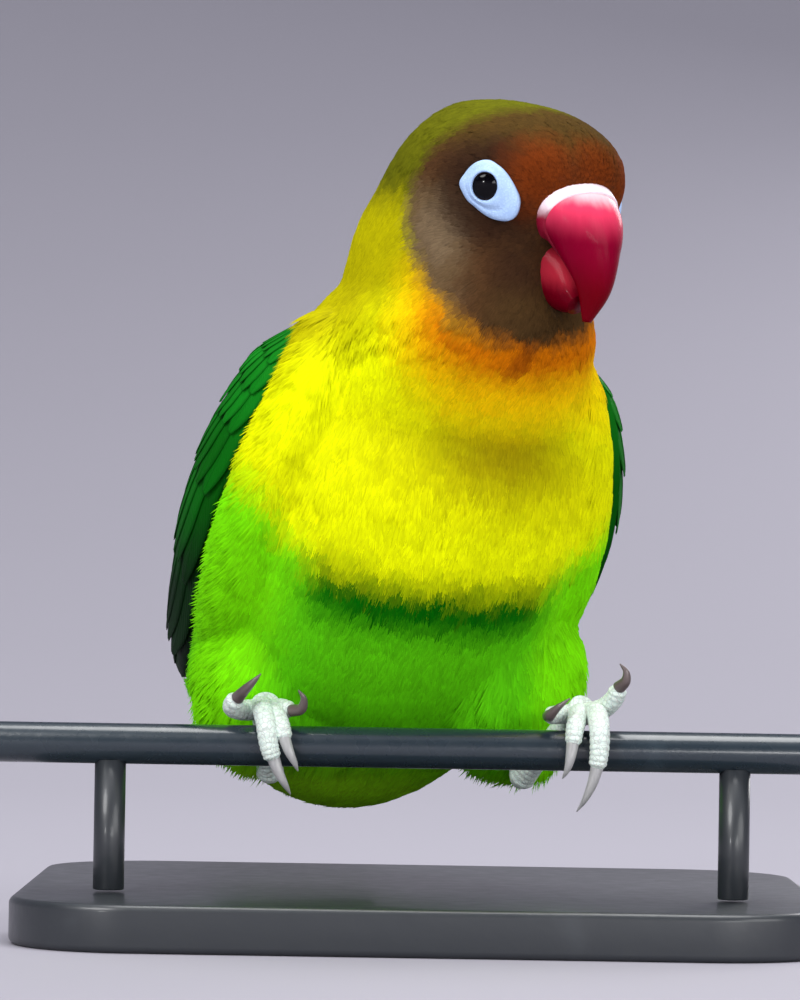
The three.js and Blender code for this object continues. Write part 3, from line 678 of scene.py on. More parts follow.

# %% [markdown]
# A game or a viewer needs each feather's colour laid out on a flat map. That map starts
# as an unwrap of the skin itself, and each feather later takes a small patch of it at its root.
# %% Unwrap of the skin
PATCH = 0.003
bpy.context.view_layer.objects.active = skin
skin.select_set(True)
skin.data.uv_layers.new(name="skin_map")
bpy.ops.object.mode_set(mode="EDIT")
bpy.ops.mesh.select_all(action="SELECT")
bpy.ops.uv.smart_project(angle_limit=math.radians(66), island_margin=0.004)
bpy.ops.object.mode_set(mode="OBJECT")
skin.select_set(False)
print("skin unwrapped")

# %% [markdown]
# A contour feather isn't a smooth leaf: its barbs part towards the tip, which is what gives a
# parrot's breast its fine streaks. One tuft here is a fan of slim closed barbs that share a root.
# A barb is only a root, a small triangle at its middle and a tip, for tens of thousands of them are
# needed. Three slightly different fans are enough, as each is turned and scaled where it grows.
# %% Barbed tufts
TUFT = {"barbs": 8, "fan": 17, "barb_width": 0.15, "curl": 0.05, "thick": 0.014, "spread": 0.62}
TUFT_KINDS = 3


def barb(length, angle, start):
    """A slim closed spindle from the tuft's root; y is along the feather and z away from the skin."""
    side = math.sin(angle) * length
    forward = math.cos(angle) * length
    half = TUFT["barb_width"] / 2
    x, y, z = start * 0.8 + side * 0.5, forward * 0.5, TUFT["curl"]
    low = z - TUFT["thick"]
    points = [(start * 0.35, 0, 0), (x - half, y, low), (x + half, y, low), (x, y, z + TUFT["thick"])]
    points.append((start * 1.35 + side, forward, -TUFT["curl"] * 0.4))
    faces = []
    for corner in (1, 2, 3):
        after = corner % 3 + 1
        faces += [(0, after, corner), (corner, after, 4)]
    return points, faces


def tuft_mesh(name, seed):
    draw = np.random.default_rng(seed)
    forms, strands = [], []
    for index in range(TUFT["barbs"]):
        share = index / (TUFT["barbs"] - 1) - 0.5
        angle = math.radians(TUFT["fan"]) * share + draw.normal(0, 0.04)
        length = 1 - 0.6 * share**2 + draw.uniform(-0.16, 0.04)
        forms.append(barb(length, angle, share * TUFT["spread"]))
        strands += [draw.uniform(0, 1)] * len(forms[-1][0])
    mesh = joined(name, forms)
    layer = mesh.uv_layers.new(name="vane_map")
    for loop in mesh.loops:
        x, y, _ = mesh.vertices[loop.vertex_index].co
        layer.data[loop.index].uv = (min(max(x + 0.5, 0), 1), min(max(y, 0), 1))
    store(mesh, "along", "FLOAT", [vertex.co.y for vertex in mesh.vertices])
    store(mesh, "strand", "FLOAT", strands)
    return mesh


tufts = bpy.data.collections.new("tufts")
for seed in range(TUFT_KINDS):
    mesh = tuft_mesh(f"tuft_{seed}", seed)
    tufts.objects.link(bpy.data.objects.new(mesh.name, mesh))
print("tuft", len(mesh.polygons), "faces")

# %% [markdown]
# Geometry Nodes plant the tufts. The tree scatters roots over the skin no closer than a given
# spacing, turns each tuft to the lie stored there, tips it up a little, varies its size from a fixed
# seed, and notes its root's place, so that one feather takes one colour. Realizing the instances
# makes an ordinary mesh.
# %% Planting tree
MARKED_AT = 0.55


def planting_tree():
    nodes = bpy.data.node_groups.new("plant_feathers", "GeometryNodeTree")
    sockets = nodes.interface
    wanted = {
        "Skin": "NodeSocketGeometry", "Tufts": "NodeSocketCollection", "Spacing": "NodeSocketFloat",
        "Most per area": "NodeSocketFloat", "Cover": "NodeSocketString", "Seed": "NodeSocketInt",
        "Tip up": "NodeSocketFloat", "Disorder": "NodeSocketFloat", "Finish": "NodeSocketMaterial",
        "Patch": "NodeSocketFloat",
    }
    for name, kind in wanted.items():
        sockets.new_socket(name=name, in_out="INPUT", socket_type=kind)
    sockets.new_socket(name="Coat", in_out="OUTPUT", socket_type="NodeSocketGeometry")
    tree = Tree(nodes)
    given = nodes.nodes.new("NodeGroupInput")
    inputs = {name: Value(tree, given.outputs[name]) for name in wanted}

    def named(name, kind="FLOAT"):
        return tree.node("GeometryNodeInputNamedAttribute", {"data_type": kind}, {"Name": name})

    def stored(geometry, name, kind, domain, value):
        settings = {"data_type": kind, "domain": domain}
        values = {"Geometry": geometry, "Name": name, "Value": value}
        return tree.node("GeometryNodeStoreNamedAttribute", settings, values)

    def chance(low, high, seed):
        values = {2: low, 3: high, 8: seed}
        return tree.node("FunctionNodeRandomValue", {"data_type": "FLOAT"}, values, output=1)

    scatter = {
        "Mesh": inputs["Skin"],
        "Distance Min": inputs["Spacing"],
        "Density Max": inputs["Most per area"],
        "Density Factor": named(inputs["Cover"]),
        "Seed": inputs["Seed"],
    }
    settings = {"distribute_method": "POISSON"}
    points = tree.node("GeometryNodeDistributePointsOnFaces", settings, scatter)
    normal = Value(tree, points.socket.node.outputs["Normal"])
    place = tree.node("GeometryNodeInputPosition")
    reach = named("feather_length") * MARKED_AT
    middle = tree.node("ShaderNodeVectorMath", {"operation": "MULTIPLY_ADD"},
                       [named("lie", "FLOAT_VECTOR"), reach, place])
    points = stored(points, "root", "FLOAT_VECTOR", "POINT", middle)
    points = stored(points, "out", "FLOAT_VECTOR", "POINT", normal)
    points = stored(points, "tone", "FLOAT", "POINT", chance(0.0, 1.0, inputs["Seed"] + 1))
    settings = {"primary_axis": "Z", "secondary_axis": "Y"}
    axes = {"Primary Axis": normal, "Secondary Axis": named("lie", "FLOAT_VECTOR")}
    heading = tree.node("FunctionNodeAxesToRotation", settings, axes)
    swing = chance(-1.0, 1.0, inputs["Seed"] + 2) * inputs["Disorder"]
    tip = inputs["Tip up"] * chance(0.6, 1.4, inputs["Seed"] + 3)
    angles = tree.node("ShaderNodeCombineXYZ", None, {"X": tip, "Z": swing})
    swerve = tree.node("FunctionNodeEulerToRotation", None, [angles])
    heading = tree.node("FunctionNodeRotateRotation", {"rotation_space": "LOCAL"}, [heading, swerve])
    growth = chance(0.82, 1.15, inputs["Seed"] + 4)
    long = named("feather_length") * growth
    wide = named("feather_width") * growth
    size = tree.node("ShaderNodeCombineXYZ", None, {"X": wide, "Y": long, "Z": long})
    chosen = {"Collection": inputs["Tufts"], "Separate Children": True, "Reset Children": True}
    tufts = tree.node("GeometryNodeCollectionInfo", None, chosen)
    planting = {
        "Points": points, "Instance": tufts, "Pick Instance": True, "Rotation": heading, "Scale": size,
    }
    planted = tree.node("GeometryNodeInstanceOnPoints", None, planting)
    coat = tree.node("GeometryNodeRealizeInstances", None, {"Geometry": planted})
    spread = tree.node("ShaderNodeCombineXYZ", None, {"X": inputs["Patch"], "Y": inputs["Patch"]})
    within = [named("vane_map", "FLOAT_VECTOR"), spread, named("skin_map", "FLOAT_VECTOR")]
    bake_place = tree.node("ShaderNodeVectorMath", {"operation": "MULTIPLY_ADD"}, within)
    coat = stored(coat, "OFBake", "FLOAT2", "CORNER", bake_place)
    coat = tree.node("GeometryNodeSetMaterial", None, {"Geometry": coat, "Material": inputs["Finish"]})
    out = nodes.nodes.new("NodeGroupOutput")
    nodes.links.new(coat.socket, out.inputs["Coat"])
    return nodes


planting = planting_tree()
print("planting tree", len(planting.nodes), "nodes")

# %% [markdown]
# The markings are one formula of a feather's root, shared by skin and feathers. The brown mask is
# an oval round the bill in the head's frame: rusty between bill and eye, dark about the eye, grey
# on the cheek and dusky on the chin. Its radius also sets the orange and gold bib below it. The
# yellow of the breast ends in a curve above the green belly, whose flanks are lime. A little noise
# moves each border, as single feathers do on the bird.
# %% Markings
MASK = {
    "y": -11.0, "z": -2.0, "back": 15.0, "up": 14.8, "down": 16.4, "corner": 0.6,
    "front": 0.013, "turned": -6.0,
}
EYE_PLACE = (12.6, -7.6, 0.9)
LORE = (7.5, -12.0, 3.2)
BRIDGE = (0.0, -14.5, 5.0)
CHEEK = (14.2, -1.4, -4.8)
BESIDE_BILL = (6.5, -8.6, -10.0)
SPIKE_AT = -3.8
SHOULDER_Z = 40.0
YELLOW_ENDS = {"middle": 20.2, "curve": 0.00074, "soft": 2.8, "softer": 0.07}
# FOLD_SHADOW is the oval of painted shadow under the fluffed upper breast, in millimetres of the body's
# frame.
FOLD_SHADOW = {"x": 5.0, "z": 37.2, "wide": 14.0, "tall": 6.0}
# In PLUMAGE, shade and fold are painted shadow on the yellow, and deep is painted shade on the green under
# the breast.
PLUMAGE = {
    "belly": (92, 200, 12), "vent": (160, 226, 30), "deep": (0, 98, 0), "lime": (120, 224, 6),
    "yellow": (232, 240, 0), "shade": (196, 190, 0), "fold": (150, 134, 0), "gold": (232, 184, 0),
    "orange": (198, 108, 0), "rust_spike": (140, 66, 2), "back": (40, 136, 12), "nape": (164, 154, 0),
    "crown": (92, 94, 8), "ochre": (180, 140, 12), "brown": (76, 50, 28), "dark": (46, 28, 18),
    "cheek": (100, 80, 54), "rust": (114, 48, 10), "chin": (68, 48, 24), "grey": (124, 106, 82),
    "forehead": (74, 54, 20),
}
PLUMAGE = {name: paint(*colour) for name, colour in PLUMAGE.items()}
# root, rise and risen paint shade that darkens feathers towards their roots, and skin paints the shade under
# the coat; tuft, barb and cloud are random tone.
TONES_AND_DEPTH_SHADE = {"root": 0.87, "rise": 0.14, "risen": 0.6, "tuft": 0.2, "barb": 0.24, "cloud": 0.26, "skin": 0.85}
GRAIN = {"drift": 420.0, "cloud": 170.0, "skin": 2500.0}

# Soft borders, each from where its colour is absent to where it is full. Most are millimetres
# along one axis of the body or head, and those of mask, bib and the painted shadow round the
# fold are shares of an oval.
BORDERS = {
    "middle": (21.0, 13.0), "near_yellow": (9.0, 3.0), "lime": (14.0, 21.0), "back": (16.0, 24.0),
    "above_rail": (2.0, 10.0), "vent": (0.0, -6.0), "shade": (2.1, 0.8), "fold": (1.2, 0.1),
    "front": (20.0, 13.0), "cheek_z": (3.0, -2.0), "cheek_y": (-6.5, -1.5), "grey": (5.2, 1.0),
    "beside_bill": (5.0, 1.5), "chin_z": (-9.0, -13.0), "chin_y": (-4.0, -9.0), "forehead": (4.0, 8.0),
    "near_eye": (10.0, 5.0), "rust": (8.2, 2.0), "mask_low": (1.0, -1.0), "mask_front": (0.0, -8.0),
    "nape": (-21.0, -8.0), "crown": (-5.0, 2.0), "low": (-6.0, -12.0), "throat": (6.0, -2.0),
    "gold": (2.15, 1.5), "orange": (1.62, 1.16), "orange_y": (2.0, -4.0), "spike": (2.0, 0.5),
    "spike_end": (1.42, 1.25), "ochre": (1.2, 1.02), "ochre_y": (-9.0, -4.0), "mask": (1.13, 0.92),
}


def frame_axes(finish, root, matrix):
    """The root's x, y and z in millimetres, in the frame that the matrix describes."""
    inverse = np.linalg.inv(matrix)
    return [finish.along(root, tuple(row[:3])) + float(row[3]) for row in inverse[:3]]


def length_of(x, y, z):
    return (x * x + y * y + z * z) ** 0.5


def border(finish, name, value):
    return finish.rise(value, *BORDERS[name])


def layer(finish, under, name, share):
    """One of the plumage's colours laid over another."""
    return finish.mix(under, PLUMAGE[name], share)


def body_markings(finish, root, drift):
    """A yellow breast with painted shadow round a fold across the crop, and green below, beside and behind
    it, with painted shade in the middle just under the yellow.
    """
    x, y, z = frame_axes(finish, root, BODY_FRAME)
    side = x.size()
    below = YELLOW_ENDS["middle"] + side**3.0 * YELLOW_ENDS["curve"] - z
    middle = border(finish, "middle", side)
    # Painted shade: the green is darker in the middle just below the yellow, where the breast bulges over the
    # belly.
    green = layer(finish, PLUMAGE["belly"], "deep", border(finish, "near_yellow", below) * middle)
    green = layer(finish, green, "lime", border(finish, "lime", side + drift * 4.0))
    green = layer(finish, green, "back", border(finish, "back", y) * border(finish, "above_rail", z))
    green = layer(finish, green, "vent", border(finish, "vent", z) * 0.8)
    # Painted shadow: the yellow darkens softly over a wide oval round a fold across the crop, and most in the
    # fold itself.
    across, up = (x - FOLD_SHADOW["x"]) / FOLD_SHADOW["wide"], (z - FOLD_SHADOW["z"]) / FOLD_SHADOW["tall"]
    from_fold_shadow = (across * across + up * up) ** 0.5 + drift * 0.5
    yellow = layer(finish, PLUMAGE["yellow"], "shade", border(finish, "shade", from_fold_shadow) * 0.6)
    yellow = layer(finish, yellow, "fold", border(finish, "fold", from_fold_shadow) * 0.9)
    soft = YELLOW_ENDS["soft"] + side * YELLOW_ENDS["softer"]
    front = border(finish, "front", y - (z - SHOULDER_Z).above(0.0) * 0.9)
    return finish.mix(green, yellow, finish.rise(drift * 6.0 - below, -soft, soft) * front)


def face_colour(finish, x, y, z, drift):
    """Colours inside the mask, from the same point of the head on either side."""
    side = x.size()
    on_cheek = border(finish, "cheek_z", z + drift * 3.0) * border(finish, "cheek_y", y + drift * 3.0)
    colour = finish.mix(PLUMAGE["brown"], PLUMAGE["cheek"], on_cheek)
    grey = length_of(side - CHEEK[0], y - CHEEK[1], (z - CHEEK[2]) * 0.8) + drift * 5.0
    colour = layer(finish, colour, "grey", border(finish, "grey", grey) * 0.6)
    near_bill = length_of(side - BESIDE_BILL[0], y - BESIDE_BILL[1], (z - BESIDE_BILL[2]) * 0.6)
    colour = layer(finish, colour, "dark", border(finish, "beside_bill", near_bill + drift * 4.0) * 0.6)
    on_chin = border(finish, "chin_z", z + drift * 2.0) * border(finish, "chin_y", y)
    colour = layer(finish, colour, "chin", on_chin)
    colour = layer(finish, colour, "forehead", border(finish, "forehead", z + drift * 3.0))
    near_eye = length_of(side - EYE_PLACE[0], y - EYE_PLACE[1], z - EYE_PLACE[2]) + drift * 2.0
    colour = layer(finish, colour, "dark", border(finish, "near_eye", near_eye) * 0.85)
    lore = length_of(side - LORE[0], y - LORE[1], z - LORE[2]) + drift * 3.0
    bridge = length_of(side * 0.8, y - BRIDGE[1], z - BRIDGE[2]) + drift * 3.0
    return layer(finish, colour, "rust", border(finish, "rust", lore.below(bridge + 1.0)) * 0.9)


def markings(finish, root):
    """The plumage's colour at a root."""
    x, y, z = frame_axes(finish, root, HEAD_FRAME)
    drift = finish.noise(root, GRAIN["drift"], 3.0) - 0.5
    coat = body_markings(finish, root, drift)
    high = z - MASK["z"]
    tall = MASK["up"] + (MASK["down"] - MASK["up"]) * border(finish, "mask_low", high)
    back, up = (y - MASK["y"]) / MASK["back"], high / tall
    corner = back.above(0.0) * (-up).above(0.0) * MASK["corner"]
    radius = (back * back + up * up + corner) ** 0.5
    turned = (x - MASK["turned"]).above(0.0) * MASK["front"]
    radius = radius + drift * 0.2 + turned * border(finish, "mask_front", high)

    coat = layer(finish, coat, "nape", border(finish, "nape", z + y * 0.6 + drift * 4.0) * 0.9)
    coat = layer(finish, coat, "crown", border(finish, "crown", z + drift * 5.0))
    low = border(finish, "low", z)
    front = border(finish, "throat", y)
    coat = layer(finish, coat, "gold", border(finish, "gold", radius) * low * front)
    orange = border(finish, "orange", radius) * low * border(finish, "orange_y", y)
    coat = layer(finish, coat, "orange", orange)
    spike = border(finish, "spike", (x - SPIKE_AT).size() + drift * 1.5)
    coat = layer(finish, coat, "rust_spike", spike * border(finish, "spike_end", radius) * low * 0.7)
    ochre = border(finish, "ochre", radius) * border(finish, "ochre_y", y) * low
    coat = layer(finish, coat, "ochre", ochre * 0.7)
    return finish.mix(coat, face_colour(finish, x, y, z, drift), border(finish, "mask", radius))


def feather_finish(name):
    """Feathers: the markings at the root, toned per feather and barb, with painted shade that darkens each
    barb towards its root in the depth of the coat.
    """
    finish = Finish(name, Roughness=0.8, Specular_IOR_Level=0.05)
    root = finish.attribute("root", output=1)
    coat = markings(finish, root)
    cloud = (finish.noise(root, GRAIN["cloud"]) - 0.5) * TONES_AND_DEPTH_SHADE["cloud"]
    tone = (finish.attribute("tone") - 0.5) * TONES_AND_DEPTH_SHADE["tuft"]
    tone = tone + (finish.attribute("strand") - 0.5) * TONES_AND_DEPTH_SHADE["barb"]
    # Painted shade: each barb is darker near its root and lightens towards its tip.
    along = finish.rise(finish.attribute("along"), 0.0, TONES_AND_DEPTH_SHADE["risen"])
    shade = TONES_AND_DEPTH_SHADE["root"] + TONES_AND_DEPTH_SHADE["rise"] * along + tone + cloud
    shaded = finish.node("ShaderNodeVectorMath", {"operation": "SCALE"}, {0: coat, "Scale": shade})
    finish.set(Base_Color=shaded)
    return finish.material


def skin_finish():
    finish = Finish("feathered_skin", Roughness=0.9, Specular_IOR_Level=0.1)
    root = finish.attribute("root", output=1)
    # Painted shade: the skin takes the markings made darker, as the depth under the feathers would be.
    depth = {0: markings(finish, root), "Scale": TONES_AND_DEPTH_SHADE["skin"]}
    finish.set(Base_Color=finish.node("ShaderNodeVectorMath", {"operation": "SCALE"}, depth))
    finish.relief(finish.noise(root, GRAIN["skin"], 3.0), 0.2 * MM)
    return finish.material


dressed(skin, skin_finish(), "body_feathers", "torso", "neck", "head", "thigh_right", "thigh_left")
print("markings on the skin")

# %% [markdown]
# The coat is planted in bands round the bill, so that feathers are finest on the face and grow longer
# down the neck and body, and so that no piece gets too large for a viewer. A real feather lets
# light sink in, so it looks softer than its edges are. Giving each barb most of the skin's own
# normal has that effect, and the streaks stay fine.
# %% Coat
COATS = {
    "face_coat": (0, 18, 0.35, "head_feathers"),
    "head_coat": (18, 26, 0.44, "head_feathers"),
    "throat_coat": (26, 34, 0.48, "breast_feathers"),
    "upper_breast_coat": (34, 44, 0.52, "breast_feathers"),
    "lower_breast_coat": (44, 54, 0.54, "breast_feathers"),
    "flank_coat": (54, 64, 0.56, "body_feathers"),
    "belly_coat": (64, 75, 0.56, "body_feathers"),
    "rump_coat": (75, 200, 0.6, "body_feathers"),
}
SEEDS = {"first": 3, "step": 11}
TIP_UP = 0.018
DISORDER = 0.2
MOST_PER_AREA = 9e6
SOFTNESS = 0.8


def set_inputs(modifier, values):
    """Sets a modifier's inputs by their names, through the identifiers that Blender stores."""
    for socket in modifier.node_group.interface.items_tree:
        if socket.in_out == "INPUT" and socket.name in values:
            modifier[socket.identifier] = values[socket.name]


def soften(mesh):
    """Leans each point's normal towards that of the skin under its root."""
    count = len(mesh.vertices)
    own, under = np.empty(count * 3), np.empty(count * 3)
    mesh.vertices.foreach_get("normal", own)
    mesh.attributes["out"].data.foreach_get("vector", under)
    leaning = (1 - SOFTNESS) * own.reshape(-1, 3) + SOFTNESS * under.reshape(-1, 3)
    mesh.attributes.remove(mesh.attributes["out"])
    mesh.normals_split_custom_set_from_vertices(unit(leaning).tolist())


def planted_coat(name, low, high, spacing, slot, seed):
    """Plants one band, from low to high millimetres from the bill."""
    store(skin.data, name, "FLOAT", ((far >= low) & (far < high)) * cover)
    coat = add_object(name, skin.data.copy())
    modifier = coat.modifiers.new("plant", "NODES")
    modifier.node_group = planting
    set_inputs(modifier, {
        "Tufts": tufts, "Spacing": spacing * MM, "Most per area": MOST_PER_AREA,
        "Cover": name, "Seed": seed, "Tip up": TIP_UP, "Disorder": DISORDER,
        "Finish": coat_material, "Patch": PATCH,
    })
    mesh = baked_modifiers(coat)
    mesh.shade_smooth()
    soften(mesh)
    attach(coat, "root")
    mesh.calc_loop_triangles()
    print(name, len(mesh.loop_triangles), "triangles")


coat_material = feather_finish("contour_feathers")
for index, (coat_name, row) in enumerate(COATS.items()):
    planted_coat(coat_name, *row, index * SEEDS["step"] + SEEDS["first"])

# %% [markdown]
# Flight feathers are stiff vanes, so each is a closed shell of its own: broad, a little arched over
# its shaft, and thin at the edges. Shell gathers many of them in one mesh, and notes for every point
# how far along and across its feather it lies, which the finish needs for the shaft and the barbs.
# %% Vanes
ATLAS_COLUMNS = 12
ATLAS_MARGIN = 0.08


class Shell:
    """Closed forms made of rings, joined in one mesh with what their finish reads at each point."""

    def __init__(self):
        self.points = []
        self.faces = []
        self.notes = {"along": [], "across": [], "tone": []}
        self.cells = []
        self.count = 0

    def add(self, rings, across, tone):
        count, sides = rings.shape[:2]
        start = len(self.points)
        points, faces = closed_rings(rings)
        self.points += points
        self.faces += [tuple(start + corner for corner in face) for face in faces]
        along = np.repeat(np.linspace(0, 1, count), sides)
        wide = np.tile(across, count)
        self.notes["along"] += [*along, 0.0, 1.0]
        self.notes["across"] += [*wide, 0.0, 0.0]
        self.notes["tone"] += [tone] * (count * sides + 2)
        self.cells += [self.count] * len(faces)
        self.count += 1

    def mesh(self, name):
        mesh = mesh_of(name, self.points, self.faces)
        for note, values in self.notes.items():
            store(mesh, note, "FLOAT", values)
        layer = mesh.uv_layers.new(name="OFBake")
        rows = math.ceil(self.count / ATLAS_COLUMNS)
        for face, cell in zip(mesh.polygons, self.cells):
            for loop in face.loop_indices:
                point = mesh.loops[loop].vertex_index
                u = 0.5 + (0.5 - ATLAS_MARGIN) * self.notes["across"][point]
                v = ATLAS_MARGIN + (1 - 2 * ATLAS_MARGIN) * self.notes["along"][point]
                across, down = cell % ATLAS_COLUMNS + u, cell // ATLAS_COLUMNS + v
                layer.data[loop].uv = (across / ATLAS_COLUMNS, down / rows)
        shape = bmesh.new()
        shape.from_mesh(mesh)
        bmesh.ops.recalc_face_normals(shape, faces=shape.faces)
        shape.to_mesh(mesh)
        shape.free()
        return mesh


VANE = {"thick": 0.2, "edge": 0.06, "shaft": 0.06, "tilt": 0.06, "rise": 0.3, "steps": 14}
ACROSS = np.array([-1.0, -0.6, -0.2, 0.0, 0.2, 0.6, 1.0])
LONG = [[0.5], [0.84], [0.96], [1.0], [1.0], [0.98], [0.92], [0.74], [0.2]]
MIDDLE = [[0.6], [0.86], [0.98], [1.0], [0.98], [0.92], [0.74], [0.2]]
ROUND = [[0.6], [0.75], [0.86], [0.93], [0.97], [1.0], [1.0], [0.97], [0.88], [0.2]]
SHORT = [[0.72], [0.9], [1.0], [1.0], [0.9], [0.64], [0.24]]


def vane_rings(shape, width, lifts, place):
    """Rings of one vane; place gives the point at a share of its length, a distance across and a lift."""
    u = (1 - np.cos(np.linspace(0, np.pi, VANE["steps"]))) / 2
    half = (width / 2) * columns(shape, u)[0][:, None]
    base = lifts[0] + (lifts[1] - lifts[0]) * u[:, None] ** VANE["rise"]
    x = half * ACROSS
    shaft = VANE["shaft"] * (ACROSS == 0)
    thick = VANE["edge"] + (VANE["thick"] - VANE["edge"]) * (1 - np.abs(ACROSS)) ** 0.5
    top = place(u[:, None] + 0 * x, x, base - VANE["tilt"] * x + shaft)
    under = place(u[:, None] + 0 * x, x, base - VANE["tilt"] * x - thick)
    return np.concatenate([top, under[:, ::-1]], axis=1)


VANE_ACROSS = np.concatenate([ACROSS, ACROSS[::-1]])
print("vane with", 2 * len(ACROSS), "points round it")

# %% [markdown]
# Each tier is planted in lanes counted up from the wing's lower edge. A parallel tier keeps its
# lanes a steady distance apart and lets each feather end where the narrowing wing still has room,
# as primaries do. The others close up with the wing.
# %% Wing feathers
TIER_FIELDS = ("shape", "count", "start", "pitch", "width", "root", "tip", "lifts")
WING_TIERS = {
    "primaries": (LONG, 9, 2.9, 2.6, 6.0, 0.44, 0.02, (-1.7, -0.1)),
    "secondaries": (MIDDLE, 8, 13.5, 2.3, 5.0, 0.62, 0.36, (-1.7, 0.0)),
    "primary coverts": (SHORT, 6, 2.4, 2.1, 4.2, 0.63, 0.43, (-1.6, 0.05)),
    "greater coverts": (SHORT, 12, 2.6, 2.75, 4.9, 0.75, 0.575, (-1.5, 0.1)),
    "median coverts": (SHORT, 12, 2.4, 2.5, 4.5, 0.82, 0.69, (-1.4, 0.15)),
    "first lesser coverts": (SHORT, 12, 2.2, 2.25, 4.0, 0.88, 0.78, (-1.3, 0.15)),
    "second lesser coverts": (SHORT, 11, 2.0, 2.1, 3.8, 0.935, 0.845, (-1.2, 0.15)),
    "marginal coverts": (SHORT, 9, 2.0, 2.1, 3.7, 0.985, 0.9, (-1.1, 0.1)),
}
PARALLEL = "primaries"
SIDE_LIFT = {-1: 0.0, 1: -0.5}
TIP_ROOM = 0.4
TIP_PLAY = 0.006
LAST_SHARE = 0.995
WING_SEED = 40
TAIL_SEED = 7


def lane_tip(side, distance, start):
    """Where a lane at this distance from the lower edge starts to fit in, past the given place."""
    places = np.arange(start, 1.0, 0.01)
    return places[np.argmax(wing_width(side, places) >= distance)]


def wing_vane_rings(side, tier, lane, tip, parallel):
    def place(u, x, lift):
        t = tier["root"] + (tip - tier["root"]) * u
        width = wing_width(side, t if parallel else np.full(t.shape, tip))
        return wing_point(side, t, np.minimum((lane + x) / width, LAST_SHARE), lift + SIDE_LIFT[side])
    return vane_rings(tier["shape"], tier["width"], tier["lifts"], place)


def wing_mesh(name, side, seed):
    draw = np.random.default_rng(seed)
    shell = Shell()
    core = wing_core_rings(side)
    shell.add(core, np.zeros(core.shape[1]), 0.2)
    for tier_name, values in WING_TIERS.items():
        tier = dict(zip(TIER_FIELDS, values))
        parallel = tier_name == PARALLEL
        for index in range(tier["count"]):
            lane = tier["start"] + tier["pitch"] * index
            tip = tier["tip"] + draw.uniform(-TIP_PLAY, TIP_PLAY)
            if parallel:
                tip = lane_tip(side, lane + TIP_ROOM * tier["width"], tier["tip"])
            rings = wing_vane_rings(side, tier, lane, tip, parallel)
            shell.add(rings, VANE_ACROSS, draw.uniform(0, 1))
    print(name, shell.count - 1, "feathers")
    return shell.mesh(name)


def vane_colour(finish, colours, bands, lighter=0.0):
    """Barbs slant from the shaft to the edge; the tip and the edges are darker."""
    along = finish.attribute("along")
    across = finish.attribute("across")
    tone = finish.attribute("tone")
    barbs = (along * 160.0 - across.size() * 26.0).wave() * 0.5 + 0.5
    shaft = finish.rise(across.size(), 0.12, 0.03)
    edge = finish.rise(across.size() + along * 0.2, 0.72, 1.08)
    colour = finish.mix(colours["main"], colours["light"], tone * 0.5 + lighter)
    colour = finish.mix(colour, colours["edge"], edge * 0.35)
    colour = finish.mix(colour, colours["dark"], bands)
    colour = finish.mix(colour, colours["dark"], shaft * 0.12)
    finish.relief(barbs * 0.5 + shaft * 0.5, 0.05 * MM)
    return colour


# dark serves the shafts, and the lower edge, where it is partly painted shade.
WING_COLOURS = {
    "main": paint(0, 76, 0), "light": paint(12, 124, 22),
    "edge": paint(0, 58, 4), "dark": paint(3, 16, 6),
}


def wing_finish():
    """Green above, and blackish along the lower edge: partly the primaries' own colour, partly painted shade
    on the wing's lower side.
    """
    finish = Finish("wing_vanes", Roughness=0.65, Specular_IOR_Level=0.06)
    height = frame_axes(finish, finish.place(), BODY_FRAME)[2]
    # Painted shade with the primaries' dark colour: low on the wing the vanes turn towards dark.
    low = finish.rise(height + finish.noise(finish.place(), 300.0) * 4.0, 34.0, 19.0)
    shoulder = finish.rise(height, 35.0, 46.0)
    finish.set(Base_Color=vane_colour(finish, WING_COLOURS, low * 0.85, shoulder * 0.5))
    return finish.material


wing_material = wing_finish()
for side_name, side in SIDES.items():
    name = f"feathered_wing_{side_name}"
    wing = add_object(name, wing_mesh(name, side, WING_SEED + side))
    dressed(wing, wing_material, "wing_feathers", f"wing_{side_name}")

# %% [markdown]
# A lovebird's tail is short and stepped: twelve feathers, the middle pair longest and on top, with
# coverts above and below that hide their roots. The photograph hides it behind the bird, so its
# colours follow the species: green, with a dusky bar and bluish coverts above.
# %% Tail
TAIL = {
    "root": (51, 1), "length": 40, "pitch": 6, "yaw": 13, "half": 8.4, "tall": 3.3, "level": -2.2,
    "block": 9, "sides": 24,
}
RECTRICES = {"pairs": 5, "width": 6.6, "middle": 0.8, "first": 2.8, "root_pitch": 1.1, "tip_pitch": 1.6,
             "drop": 0.42, "shorter": 1.9, "rise": 0.2, "arch": 0.006}
COVERT_FIELDS = ("count", "width", "spread", "length", "level", "face")
TAIL_COVERTS = [
    (9, 4.2, 1.7, 22, 0.6, 1),
    (8, 4.2, 1.8, 17, 1.1, 1),
    (7, 4.2, 1.9, 12, 1.7, 1),
    (9, 4.2, 1.7, 20, 4.2, -1),
    (8, 4.2, 1.8, 16, 4.9, -1),
    (7, 4.2, 1.9, 12, 5.5, -1),
]
COVERT = {"stagger": 0.28, "arch": 0.02, "lifts": [-0.8, -0.2], "shortest": 0.94, "raise": 0.5}
tail_turn = Matrix.Translation((0, *TAIL["root"])) @ turn("Z", -TAIL["yaw"]) @ turn("X", -TAIL["pitch"])
TAIL_FRAME = BODY_FRAME @ np.array(tail_turn)


